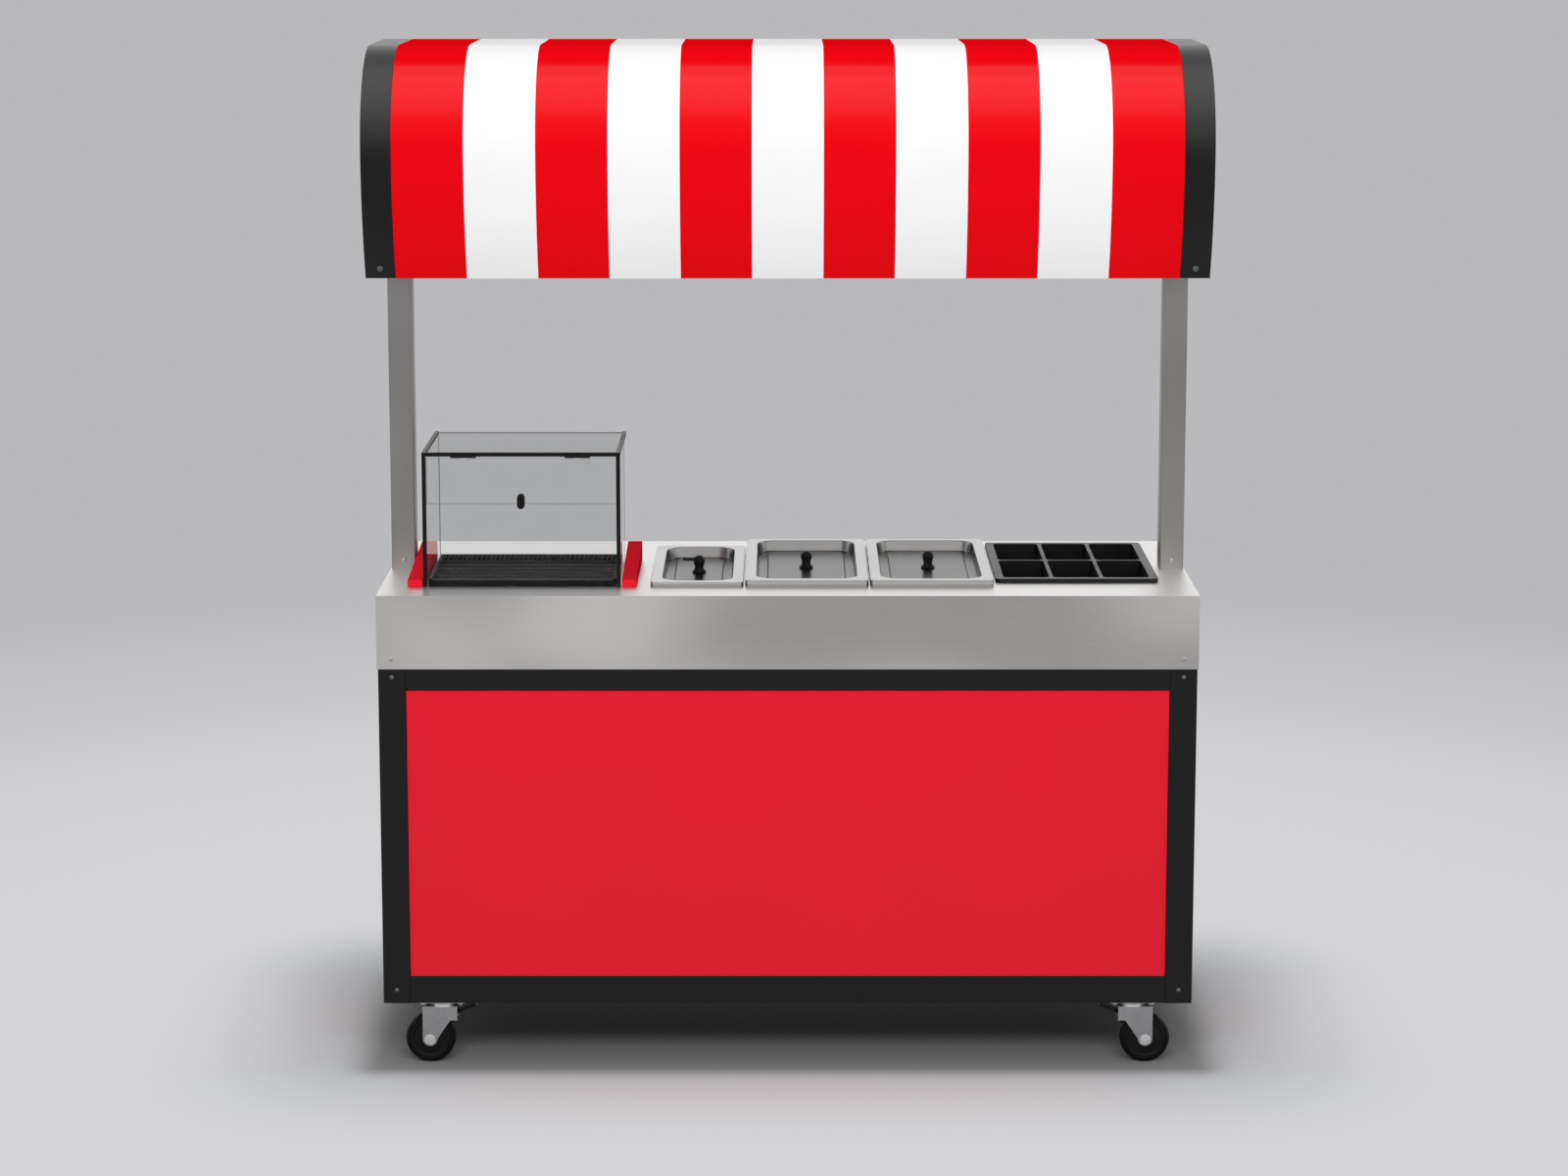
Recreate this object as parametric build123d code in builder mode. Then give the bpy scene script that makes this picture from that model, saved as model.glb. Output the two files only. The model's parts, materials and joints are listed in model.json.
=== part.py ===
from build123d import *
import os
from math import cos, radians, sin, sqrt

# Hot dog cart. Millimetres, +Z up, origin on the floor under the middle of the cart,
# +X to the customer's right, the customer's side faces -Y.

# Serving counter: what stands on it, from left to right
POST_SIZE = 50.0
POST_INSET = 3.0
CHEEK_WIDTH = 30.0
CHEEK_CLEARANCE = 2.0
CASE_WIDTH = 400.0
CASE_TO_PANS = 28.0
SMALL_PAN_WIDTH = 188.0
LARGE_PAN_WIDTH = 250.0
PAN_GAP = 4.0
PANS_TO_TRAY = 6.0
TRAY_WIDTH = 332.0
TRAY_TO_POST = 16.0

# Serving counter: from front to back
FRONT_MARGIN = 98.0
BACK_MARGIN = 52.0
SMALL_PAN_DEPTH = 440.0
LARGE_PAN_DEPTH = 500.0
TRAY_SETBACK = 50.0
TRAY_DEPTH = 438.0

# Counter sheet
COUNTER_SHEET = 2.0
COUNTER_EDGE_RADIUS = 4.0
APRON_HEIGHT = 150.0
APRON_LAP = 11.0

# Cabinet frame
CORNER_TUBE = 55.0
RAIL_DEPTH = 30.0
RAIL_HEIGHT = 55.0
TUBE_WALL = 2.0
TUBE_RADIUS = 3.0
CABINET_OPENING = 595.0
COUNTER_RAIL_HEIGHT = 40.0
BEARER_WIDTH = 100.0
BEARER_HEIGHT = 40.0
STUD_WIDTH = 50.0
STUD_DEPTH = 30.0

# Cabinet panels and doors
PANEL_THICKNESS = 4.0
PANEL_RECESS = 4.0
PANEL_GAP = 0.5
STOP_WIDTH = 15.0
STOP_DEPTH = 12.0
FLOOR_THICKNESS = 2.0
FLOOR_GAP = 1.0
DOOR_GAP = 3.0
DOOR_THICKNESS = 20.0
DOOR_SHEET = 1.5
DOOR_HINGE_LENGTH = 60.0
DOOR_HINGE_INSET = 70.0
DOOR_LEAF_WIDTH = 26.0
DOOR_LEAF_THICKNESS = 1.5
DOOR_KNUCKLE_RADIUS = 4.0
DOOR_PIN_RADIUS = 2.0
HINGE_PLAY = 0.3
PIN_CLEARANCE = 0.05
HANDLE_LENGTH = 120.0
HANDLE_REACH = 19.0
HANDLE_RADIUS = 4.5
HANDLE_BEND = 9.0
HANDLE_INSET = 40.0
CATCH_WIDTH = 40.0
CATCH_HEIGHT = 15.0
CATCH_GAP = 0.5

# Pans, lids and tray
PAN_SHEET = 1.0
PAN_FLANGE = 14.0
PAN_BEARING = 6.0
PAN_RIM = 5.0
PAN_DROP = 150.0
PAN_CORNER = 24.0
PAN_RIM_CORNER = 12.0
PAN_TAPER = 3.0
CUTOUT_CLEARANCE = 2.0
LID_SHEET = 1.2
LID_FLANGE = 22.0
SMALL_LID_RIM = 5.0
LARGE_LID_RIM = 9.0
LID_RECESS = 22.0
LID_TAPER = 10.0
LID_BOSS_INSET = 16.0
LID_BOSS_HEIGHT = 3.0
LID_BOSS_TAPER = 40.0
KNOB_BASE_RADIUS = 14.5
KNOB_BASE_HEIGHT = 5.0
KNOB_NECK_RADIUS = 8.0
KNOB_HEAD_RADIUS = 11.0
KNOB_HEIGHT = 36.0
KNOB_TAB_LENGTH = 34.0
KNOB_TAB_SIZE = 5.0
TRAY_RIM = 8.0
TRAY_FLANGE = 14.0
TRAY_DROP = 90.0
TRAY_FLOOR = 3.0
TRAY_WALL = 8.0
TRAY_CORNER = 10.0
TRAY_TAPER = 3.0
TRAY_COLUMNS = 3
TRAY_ROWS = 2

# Hot water bath
TANK_SHEET = 1.5
TANK_CLEARANCE = 6.0
TANK_DEPTH = 180.0
ELEMENT_RADIUS = 4.0
ELEMENT_LEGS = 120.0
ELEMENT_STANDOFF = 12.0
ELEMENT_INSET = 70.0
ELEMENT_TERMINAL = 22.0
ELEMENT_HEAD_THICKNESS = 6.0
ELEMENT_HEAD_MARGIN = 20.0
DRAIN_RADIUS = 10.0
DRAIN_BORE = 8.0
DRAIN_INSET = 40.0
DRAIN_FLANGE_RADIUS = 18.0
DRAIN_FLANGE_THICKNESS = 3.0
DRAIN_COLLAR_RADIUS = 13.0
DRAIN_STICKOUT = 25.0
DRAIN_FLOOR_CLEARANCE = 1.0
VALVE_RADIUS = 18.0
VALVE_LENGTH = 46.0
VALVE_HEIGHT = 580.0
STEM_RADIUS = 4.0
STEM_NUT_RADIUS = 7.0
STEM_NUT_THICKNESS = 4.0
LEVER_LENGTH = 95.0
LEVER_WIDTH = 18.0
LEVER_THICKNESS = 3.0

# Controls on the vendor's side of the apron
CONTROL_CENTRE = 265.0
CONTROL_LENGTH = 210.0
CONTROL_HEIGHT = 64.0
CONTROL_PLATE = 2.0
CONTROL_BELOW_COUNTER = 85.0
DIAL_OFFSET = -66.0
DIAL_RADIUS = 20.0
DIAL_DEPTH = 14.0
DIAL_GRIP_WIDTH = 7.0
DIAL_GRIP_HEIGHT = 38.0
DIAL_GRIP_DEPTH = 3.0
DIAL_GAP = 0.6
DIAL_SHAFT = 3.0
DIAL_SHAFT_HOLE = 5.0
THERMOSTAT_SIZE = 46.0
THERMOSTAT_DEPTH = 28.0
THERMOSTAT_WALL = 3.0
LAMP_OFFSET = -18.0
LAMP_RADIUS = 6.0
LAMP_DOME = 5.0
LAMP_DEPTH = 14.0
SWITCH_OFFSET = 16.0
SWITCH_WIDTH = 14.0
SWITCH_RADIUS = 10.0
SWITCH_PLAY = 0.4
SWITCH_TILT = 10.0
SWITCH_ARC = 60.0
SWITCH_BOX_WALL = 2.0
SWITCH_BOX_DEPTH = 18.0
INLET_OFFSET = 66.0
INLET_WIDTH = 31.0
INLET_HEIGHT = 25.0
INLET_WALL = 3.0
INLET_DEPTH = 22.0
INLET_FLANGE = 4.0
INLET_FLANGE_THICKNESS = 2.5
INLET_PIN_LENGTH = 13.0
INLET_PIN_SIZE = 2.5
INLET_PIN_SPACING = 7.0
INLET_PIN_DROP = 2.5

# Glass bun case with its black trim, rack and red cheeks
CASE_DEPTH = 310.0
CASE_HEIGHT = 275.0
CASE_POST = 8.0
CASE_RAIL = 8.0
PANE = 4.0
PANE_JOINT = 0.3
PANE_SETBACK = 2.0
FLAP_SPLIT = 170.0
FLAP_GAP = 2.0
FLAP_SIDE_GAP = 1.0
FLAP_TOP_GAP = 4.0
FLAP_KNUCKLE_RADIUS = 3.5
FLAP_PIN_RADIUS = 1.5
FLAP_LEAF_THICKNESS = 1.5
FLAP_LEAF_HEIGHT = 12.0
FLAP_HINGE_LENGTH = 50.0
FLAP_HINGE_INSET = 60.0
FLAP_KNOB_RADIUS = 7.5
FLAP_KNOB_REACH = 16.0
FLAP_KNOB_LIFT = 6.0
FLAP_KNOB_HEIGHT = 30.0
CHEEK_FRONT = 15.0
CHEEK_BACK = 40.0
CHEEK_OVERRUN = 10.0
CRUMB_TRAY_HEIGHT = 12.0
CRUMB_TRAY_SHEET = 2.0
CRUMB_TRAY_GAP = 2.0
RACK_THICKNESS = 3.0
RACK_BAR = 3.0
RACK_COLUMNS = 18
RACK_ROWS = 14

# Posts and canopy
POST_WALL = 2.0
SPIGOT_CLEARANCE = 0.3
SPIGOT_WALL = 3.0
SPIGOT_HEIGHT = 160.0
CANOPY_GAP = 633.0
CANOPY_SKIRT = 250.0
CANOPY_TUCK = 62.0
CANOPY_RADIUS = 205.0
CANOPY_END_OVERHANG = 12.0
CANOPY_FRONT_OVERHANG = 25.0
CANOPY_SKIN = 3.0
CANOPY_END_WIDTH = 60.0
STRIPE_COUNT = 11
HOOP_WIDTH = 30.0
HOOP_THICKNESS = 3.0
PURLIN_SIZE = 30.0
EDGE_RAIL_DEPTH = 20.0
EDGE_RAIL_HEIGHT = 30.0
ARM_SIZE = 40.0
HEAD_PLATE_LENGTH = 110.0
HEAD_PLATE_WIDTH = 70.0
HEAD_PLATE_THICKNESS = 6.0

# Casters
WHEEL_RADIUS = 51.0
WHEEL_WIDTH = 32.0
TYRE_DEPTH = 11.0
TYRE_ROUND = 6.0
RIM_WIDTH = 26.0
RIM_THICKNESS = 4.0
WEB_WIDTH = 14.0
HUB_RADIUS = 13.0
HUB_PLAY = 0.5
CASTER_TRAIL = 27.0
CASTER_END_INSET = 118.0
CASTER_FRONT_INSET = 50.0
CROWN_CLEARANCE = 14.0
CROWN_THICKNESS = 4.0
RACE_RADIUS = 28.0
RACE_HEIGHT = 6.0
RACE_PLAY = 0.3
CASTER_PLATE_LENGTH = 95.0
CASTER_PLATE_WIDTH = 80.0
CASTER_PLATE_THICKNESS = 3.0
CASTER_BOLT_LENGTH = 75.0
CASTER_BOLT_WIDTH = 60.0
CASTER_BOLT_RADIUS = 4.0
CASTER_BOLT_HEAD = 6.5
CASTER_BOLT_HEAD_HEIGHT = 5.3
CASTER_BOLT_SHANK = 14.0
KINGPIN_RADIUS = 6.0
KINGPIN_NUT_RADIUS = 9.5
KINGPIN_NUT_HEIGHT = 6.0
FORK_GAP = 38.0
FORK_PLATE = 3.0
FORK_FOOT_RADIUS = 15.0
FORK_EAR_DROP = 30.0
FORK_EAR_INSET = 1.0
AXLE_RADIUS = 5.0
AXLE_HEAD_RADIUS = 8.0
AXLE_HEAD_HEIGHT = 4.5
BRAKE_PIVOT_BACK = 21.0
BRAKE_PIVOT_DROP = 21.0
BRAKE_PIN_RADIUS = 3.0
BRAKE_HUB_RADIUS = 6.0
BRAKE_SIDE_PLAY = 0.5
BRAKE_LOBE_REACH = 16.2
BRAKE_LOBE_RADIUS = 4.0
BRAKE_LOBE_ANGLE = -85.0
BRAKE_ARM_ANGLE = 28.0
BRAKE_ARM_LENGTH = 44.0
BRAKE_ARM_THICKNESS = 4.0
BRAKE_ARM_WIDTH = 24.0
BRAKE_PAD_LENGTH = 16.0
BRAKE_PAD_THICKNESS = 6.0
BRAKE_PAD_WIDTH = 34.0

# Screws
SCREW_HEAD_RADIUS = 4.5
SCREW_HEAD_HEIGHT = 2.2
SCREW_RADIUS = 2.4
SCREW_LENGTH = 10.0
SCREW_HOLE_CLEARANCE = 0.2
SCREW_EDGE = 20.0

# Sizes that follow from the ones above
COUNTER_LENGTH = (
    2 * (POST_INSET + POST_SIZE)
    + 3 * CHEEK_CLEARANCE + 2 * CHEEK_WIDTH + CASE_WIDTH + CASE_TO_PANS
    + SMALL_PAN_WIDTH + 2 * LARGE_PAN_WIDTH + 2 * PAN_GAP
    + PANS_TO_TRAY + TRAY_WIDTH + TRAY_TO_POST
)
COUNTER_DEPTH = FRONT_MARGIN + BACK_MARGIN + max(
    SMALL_PAN_DEPTH, LARGE_PAN_DEPTH, TRAY_SETBACK + TRAY_DEPTH, CASE_DEPTH + CHEEK_OVERRUN
)
FRAME_LENGTH = COUNTER_LENGTH - 2 * COUNTER_SHEET
FRAME_DEPTH = COUNTER_DEPTH - 2 * COUNTER_SHEET
FRAME_END = FRAME_LENGTH / 2
FRAME_BACK = FRAME_DEPTH / 2
POST_X = COUNTER_LENGTH / 2 - POST_INSET - POST_SIZE / 2

CROWN_UNDERSIDE = 2 * WHEEL_RADIUS + CROWN_CLEARANCE
LOWER_RACE_TOP = CROWN_UNDERSIDE + CROWN_THICKNESS + RACE_HEIGHT
CASTER_PLATE_UNDERSIDE = LOWER_RACE_TOP + RACE_PLAY + RACE_HEIGHT
FRAME_BOTTOM = CASTER_PLATE_UNDERSIDE + CASTER_PLATE_THICKNESS
OPENING_BOTTOM = FRAME_BOTTOM + RAIL_HEIGHT
OPENING_TOP = OPENING_BOTTOM + CABINET_OPENING
APRON_BOTTOM = OPENING_TOP + RAIL_HEIGHT - APRON_LAP
COUNTER_TOP = APRON_BOTTOM + APRON_HEIGHT
COUNTER_UNDERSIDE = COUNTER_TOP - COUNTER_SHEET
COUNTER_RAIL_BOTTOM = COUNTER_UNDERSIDE - COUNTER_RAIL_HEIGHT
LOWER_RAIL_Z = FRAME_BOTTOM + RAIL_HEIGHT / 2
UPPER_RAIL_Z = OPENING_TOP + RAIL_HEIGHT / 2
OPENING_Z = (OPENING_BOTTOM + OPENING_TOP) / 2
OPENING_LENGTH = FRAME_LENGTH - 2 * CORNER_TUBE
OPENING_DEPTH = FRAME_DEPTH - 2 * CORNER_TUBE
CORNER_X = (FRAME_LENGTH - CORNER_TUBE) / 2
CORNER_Y = (FRAME_DEPTH - CORNER_TUBE) / 2

FRONT_LINE = FRONT_MARGIN - COUNTER_DEPTH / 2
LEFT_CHEEK_X = POST_SIZE / 2 - POST_X + CHEEK_CLEARANCE + CHEEK_WIDTH / 2
CASE_LEFT = LEFT_CHEEK_X + CHEEK_WIDTH / 2 + CHEEK_CLEARANCE
CASE_RIGHT = CASE_LEFT + CASE_WIDTH
CASE_X = (CASE_LEFT + CASE_RIGHT) / 2
RIGHT_CHEEK_X = CASE_RIGHT + CHEEK_CLEARANCE + CHEEK_WIDTH / 2
CASE_BACK = FRONT_LINE + CASE_DEPTH
CASE_TOP = COUNTER_TOP + CASE_HEIGHT
PANS_LEFT = RIGHT_CHEEK_X + CHEEK_WIDTH / 2 + CASE_TO_PANS
PANS_RIGHT = PANS_LEFT + SMALL_PAN_WIDTH + 2 * LARGE_PAN_WIDTH + 2 * PAN_GAP
TRAY_X = PANS_RIGHT + PANS_TO_TRAY + TRAY_WIDTH / 2
TRAY_Y = FRONT_LINE + TRAY_SETBACK + TRAY_DEPTH / 2

CANOPY_BOTTOM = COUNTER_TOP + CANOPY_GAP
CANOPY_SPRING = CANOPY_BOTTOM + CANOPY_SKIRT
CANOPY_TOP = CANOPY_SPRING + CANOPY_RADIUS
CANOPY_END = COUNTER_LENGTH / 2 + CANOPY_END_OVERHANG
CANOPY_FRONT = COUNTER_DEPTH / 2 + CANOPY_FRONT_OVERHANG
CANOPY_SKIRT_RADIUS = (CANOPY_SKIRT ** 2 + CANOPY_TUCK ** 2) / (2 * CANOPY_TUCK)
CANOPY_INSIDE = CANOPY_SKIN + HOOP_THICKNESS
STRIPES_END = CANOPY_END - CANOPY_END_WIDTH
STRIPE_WIDTH = 2 * STRIPES_END / STRIPE_COUNT
PURLIN_TOP = CANOPY_TOP - CANOPY_INSIDE
ARM_TOP = PURLIN_TOP - PURLIN_SIZE
POST_TOP = ARM_TOP - ARM_SIZE - HEAD_PLATE_THICKNESS
PURLIN_Y = CANOPY_FRONT - CANOPY_RADIUS - PURLIN_SIZE / 2

CASTER_X = FRAME_END - CASTER_END_INSET
CASTER_Y = FRAME_BACK - CASTER_FRONT_INSET
CORNERS = {
    "front_left": (-1, -1),
    "front_right": (1, -1),
    "rear_left": (-1, 1),
    "rear_right": (1, 1),
}

# Name, left edge, width, depth and lid rim height of each pan
MIDDLE_PAN_LEFT = PANS_LEFT + SMALL_PAN_WIDTH + PAN_GAP
RIGHT_PAN_LEFT = MIDDLE_PAN_LEFT + LARGE_PAN_WIDTH + PAN_GAP
PANS = {
    "left": (PANS_LEFT, SMALL_PAN_WIDTH, SMALL_PAN_DEPTH, SMALL_LID_RIM),
    "middle": (MIDDLE_PAN_LEFT, LARGE_PAN_WIDTH, LARGE_PAN_DEPTH, LARGE_LID_RIM),
    "right": (RIGHT_PAN_LEFT, LARGE_PAN_WIDTH, LARGE_PAN_DEPTH, LARGE_LID_RIM),
}


def save(piece, name):
    """Label a finished piece and write it."""
    piece.part.label = name
    export_step(piece.part, f"parts/{name}.step")


def block(x0, x1, y0, y1, z0, z1, mode=Mode.ADD):
    """Add a box between two corners to the current part."""
    with BuildSketch(Plane.XY.offset(z0)) as base:
        with Locations(((x0 + x1) / 2, (y0 + y1) / 2)):
            Rectangle(abs(x1 - x0), abs(y1 - y0))
    extrude(base.sketch, amount=z1 - z0, mode=mode)


def disc(plane, radius, height, mode=Mode.ADD):
    """Add a cylinder on a plane's origin, along its normal."""
    with BuildSketch(plane) as base:
        Circle(radius)
    extrude(base.sketch, amount=height, mode=mode)


def tube(plane, width, height, length, wall=TUBE_WALL):
    """Add a hollow section on a plane's origin, along its normal."""
    with BuildSketch(plane) as section:
        RectangleRounded(width, height, TUBE_RADIUS)
        RectangleRounded(width - 2 * wall, height - 2 * wall, TUBE_RADIUS / 2, mode=Mode.SUBTRACT)
    extrude(section.sketch, amount=length)


def plane_along_x(x, y, z):
    """Plane facing +X, its own x to +Y and its own y to +Z."""
    return Plane(origin=(x, y, z), x_dir=(0, 1, 0), z_dir=(1, 0, 0))


def plane_along_y(x, y, z):
    """Plane facing +Y, its own x to -X and its own y to +Z."""
    return Plane(origin=(x, y, z), x_dir=(-1, 0, 0), z_dir=(0, 1, 0))


def ring(plane, width, height, bar, depth):
    """Add a rectangular stop frame on a plane, along its normal."""
    with BuildSketch(plane) as outline:
        Rectangle(width, height)
        Rectangle(width - 2 * bar, height - 2 * bar, mode=Mode.SUBTRACT)
    extrude(outline.sketch, amount=depth)


def plate(plane, width, height, depth, mode=Mode.ADD):
    """Add a rectangular plate on a plane, along its normal."""
    with BuildSketch(plane) as outline:
        Rectangle(width, height)
    extrude(outline.sketch, amount=depth, mode=mode)


def screw(plane):
    """Add a pan head screw whose head stands on a plane."""
    with BuildSketch(plane) as shank:
        Circle(SCREW_RADIUS)
    extrude(shank.sketch, amount=-SCREW_LENGTH)
    disc(plane, SCREW_HEAD_RADIUS, SCREW_HEAD_HEIGHT)


def screw_hole(plane):
    """Cut the clearance hole of a screw."""
    with BuildSketch(plane) as hole:
        Circle(SCREW_RADIUS + SCREW_HOLE_CLEARANCE)
    extrude(hole.sketch, amount=SCREW_LENGTH + 1, both=True, mode=Mode.SUBTRACT)


def side_planes(x, y, reach_x, reach_y, z):
    """Planes on the four upright faces round a corner post pattern, at one height."""
    planes = []
    for sx in (-1, 1):
        for sy in (-1, 1):
            planes.append(Plane(origin=(sx * x, sy * reach_y, z), x_dir=(1, 0, 0), z_dir=(0, sy, 0)))
            planes.append(Plane(origin=(sx * reach_x, sy * y, z), x_dir=(0, 1, 0), z_dir=(sx, 0, 0)))
    return planes


def arch(inset):
    """Canopy profile in its own x (front to back) and y (height), closed along the bottom."""
    skirt = CANOPY_SKIRT_RADIUS - inset
    shoulder = CANOPY_RADIUS - inset
    skirt_centre = CANOPY_FRONT - CANOPY_SKIRT_RADIUS
    foot = skirt_centre + sqrt(skirt ** 2 - CANOPY_SKIRT ** 2)
    side = CANOPY_FRONT - inset
    flat = CANOPY_FRONT - CANOPY_RADIUS
    top = CANOPY_TOP - inset
    with BuildSketch(Plane.XY) as profile:
        with BuildLine():
            Line((-foot, CANOPY_BOTTOM), (foot, CANOPY_BOTTOM))
            TangentArc((side, CANOPY_SPRING), (foot, CANOPY_BOTTOM), tangent=(0, -1))
            TangentArc((side, CANOPY_SPRING), (flat, top), tangent=(0, 1))
            Line((flat, top), (-flat, top))
            TangentArc((-side, CANOPY_SPRING), (-flat, top), tangent=(0, 1))
            TangentArc((-side, CANOPY_SPRING), (-foot, CANOPY_BOTTOM), tangent=(0, -1))
        make_face()
    return profile.sketch


def arch_shell(x0, x1, outer, inner):
    """Add a length of the canopy vault between two insets."""
    outside = plane_along_x(x0, 0, 0) * arch(outer)
    inside = plane_along_x(x0, 0, 0) * arch(inner)
    extrude(outside, amount=x1 - x0)
    extrude(inside, amount=x1 - x0, mode=Mode.SUBTRACT)


os.makedirs("parts", exist_ok=True)

# Screw places: rails to corner posts, apron to corner posts, posts to spigots, canopy end bands
FRAME_SCREWS = (
    side_planes(CORNER_X, CORNER_Y, FRAME_END, FRAME_BACK, LOWER_RAIL_Z)
    + side_planes(CORNER_X, CORNER_Y, FRAME_END, FRAME_BACK, UPPER_RAIL_Z)
)
APRON_SCREWS = side_planes(
    CORNER_X, CORNER_Y, COUNTER_LENGTH / 2, COUNTER_DEPTH / 2, APRON_BOTTOM + SCREW_EDGE
)
POST_SCREWS = []
CANOPY_SCREWS = []
canopy_drop = CANOPY_SKIRT - SCREW_EDGE
canopy_run = sqrt(CANOPY_SKIRT_RADIUS ** 2 - canopy_drop ** 2)
for sx in (-1, 1):
    for sy in (-1, 1):
        POST_SCREWS.append(Plane(
            origin=(sx * POST_X, sy * POST_SIZE / 2, COUNTER_TOP + SCREW_EDGE),
            x_dir=(1, 0, 0), z_dir=(0, sy, 0),
        ))
        CANOPY_SCREWS.append(Plane(
            origin=(
                sx * (CANOPY_END - CANOPY_END_WIDTH / 2),
                sy * (CANOPY_FRONT - CANOPY_SKIRT_RADIUS + canopy_run),
                CANOPY_SPRING - canopy_drop,
            ),
            x_dir=(1, 0, 0), z_dir=(0, sy * canopy_run, -canopy_drop),
        ))

# Cabinet frame: four corner tubes up to the counter
with BuildPart() as corner_posts:
    for sx, sy in CORNERS.values():
        foot = Plane.XY.move(Location((sx * CORNER_X, sy * CORNER_Y, FRAME_BOTTOM)))
        tube(foot, CORNER_TUBE, CORNER_TUBE, COUNTER_UNDERSIDE - FRAME_BOTTOM)
    for place in FRAME_SCREWS + APRON_SCREWS:
        screw_hole(place)
save(corner_posts, "corner_posts")

# Rails between the corner tubes, below and above the cabinet opening
RAIL_X = FRAME_END - RAIL_DEPTH / 2
RAIL_Y = FRAME_BACK - RAIL_DEPTH / 2
with BuildPart() as frame_rails:
    for height in (LOWER_RAIL_Z, UPPER_RAIL_Z):
        for side in (-1, 1):
            along = plane_along_x(-OPENING_LENGTH / 2, side * RAIL_Y, height)
            tube(along, RAIL_DEPTH, RAIL_HEIGHT, OPENING_LENGTH)
            across = plane_along_y(side * RAIL_X, -OPENING_DEPTH / 2, height)
            tube(across, RAIL_DEPTH, RAIL_HEIGHT, OPENING_DEPTH)
    for sx, sy in CORNERS.values():
        for bolt_x in (-1, 1):
            bolt = Plane.XY.move(Location((
                sx * CASTER_X + bolt_x * CASTER_BOLT_LENGTH / 2,
                sy * (CASTER_Y + CASTER_BOLT_WIDTH / 2),
                FRAME_BOTTOM - 1,
            )))
            disc(bolt, CASTER_BOLT_RADIUS + SCREW_HOLE_CLEARANCE, TUBE_WALL + 2, mode=Mode.SUBTRACT)
save(frame_rails, "frame_rails")

# Ring of rails that the counter lies on; the posts stand over its ends
with BuildPart() as counter_rails:
    rail_z = COUNTER_UNDERSIDE - COUNTER_RAIL_HEIGHT / 2
    for side in (-1, 1):
        tube(
            plane_along_x(-OPENING_LENGTH / 2, side * (FRAME_BACK - POST_SIZE / 2), rail_z),
            POST_SIZE, COUNTER_RAIL_HEIGHT, OPENING_LENGTH,
        )
        tube(
            plane_along_y(side * (FRAME_END - POST_SIZE / 2), -OPENING_DEPTH / 2, rail_z),
            POST_SIZE, COUNTER_RAIL_HEIGHT, OPENING_DEPTH,
        )
save(counter_rails, "counter_rails")

# Floor bearers over the casters, and studs under the canopy posts
RAIL_INSIDE_X = FRAME_END - RAIL_DEPTH
RAIL_INSIDE_Y = FRAME_BACK - RAIL_DEPTH
with BuildPart() as frame_struts:
    for side in (-1, 1):
        tube(
            plane_along_y(side * CASTER_X, -RAIL_INSIDE_Y, FRAME_BOTTOM + BEARER_HEIGHT / 2),
            BEARER_WIDTH, BEARER_HEIGHT, 2 * RAIL_INSIDE_Y,
        )
        stud = Plane.XY.move(Location((side * (RAIL_INSIDE_X - STUD_DEPTH / 2), 0, FRAME_BOTTOM)))
        tube(stud, STUD_DEPTH, STUD_WIDTH, COUNTER_RAIL_BOTTOM - FRAME_BOTTOM)
    for sx, sy in CORNERS.values():
        for bolt_x in (-1, 1):
            bolt = Plane.XY.move(Location((
                sx * CASTER_X + bolt_x * CASTER_BOLT_LENGTH / 2,
                sy * (CASTER_Y - CASTER_BOLT_WIDTH / 2),
                FRAME_BOTTOM - 1,
            )))
            disc(bolt, CASTER_BOLT_RADIUS + SCREW_HOLE_CLEARANCE, TUBE_WALL + 2, mode=Mode.SUBTRACT)
save(frame_struts, "frame_struts")

# Red panels let into the front and the two ends, each against a stop frame
PANEL_FACE_Y = PANEL_RECESS - FRAME_BACK
PANEL_FACE_X = FRAME_END - PANEL_RECESS
with BuildPart() as front_panel:
    plate(
        plane_along_y(0, PANEL_FACE_Y, OPENING_Z),
        OPENING_LENGTH - 2 * PANEL_GAP, CABINET_OPENING - 2 * PANEL_GAP, PANEL_THICKNESS,
    )
save(front_panel, "front_panel")

with BuildPart() as end_panels:
    for side in (-1, 1):
        plate(
            plane_along_x(side * PANEL_FACE_X, 0, OPENING_Z),
            OPENING_DEPTH - 2 * PANEL_GAP, CABINET_OPENING - 2 * PANEL_GAP, -side * PANEL_THICKNESS,
        )
save(end_panels, "end_panels")

with BuildPart() as panel_stops:
    ring(
        plane_along_y(0, PANEL_FACE_Y + PANEL_THICKNESS, OPENING_Z),
        OPENING_LENGTH, CABINET_OPENING, STOP_WIDTH, STOP_DEPTH,
    )
    for side in (-1, 1):
        ring(
            plane_along_x(side * (PANEL_FACE_X - PANEL_THICKNESS), 0, OPENING_Z),
            OPENING_DEPTH, CABINET_OPENING, STOP_WIDTH, -side * STOP_DEPTH,
        )
save(panel_stops, "panel_stops")

# Hot water bath: place of the tank and its drain
TANK_LEFT = PANS_LEFT + PAN_FLANGE - TANK_CLEARANCE - TANK_SHEET
TANK_RIGHT = PANS_RIGHT - PAN_FLANGE + TANK_CLEARANCE + TANK_SHEET
TANK_FRONT = FRONT_LINE + PAN_FLANGE - TANK_CLEARANCE - TANK_SHEET
TANK_BACK = (
    FRONT_LINE + max(SMALL_PAN_DEPTH, LARGE_PAN_DEPTH) - PAN_FLANGE + TANK_CLEARANCE + TANK_SHEET
)
TANK_BOTTOM = COUNTER_UNDERSIDE - TANK_DEPTH
TANK_FLOOR = TANK_BOTTOM + TANK_SHEET
DRAIN_X = TANK_LEFT + DRAIN_INSET
DRAIN_Y = TANK_BACK - DRAIN_INSET
DRAIN_END = FRAME_BOTTOM - DRAIN_STICKOUT

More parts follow.
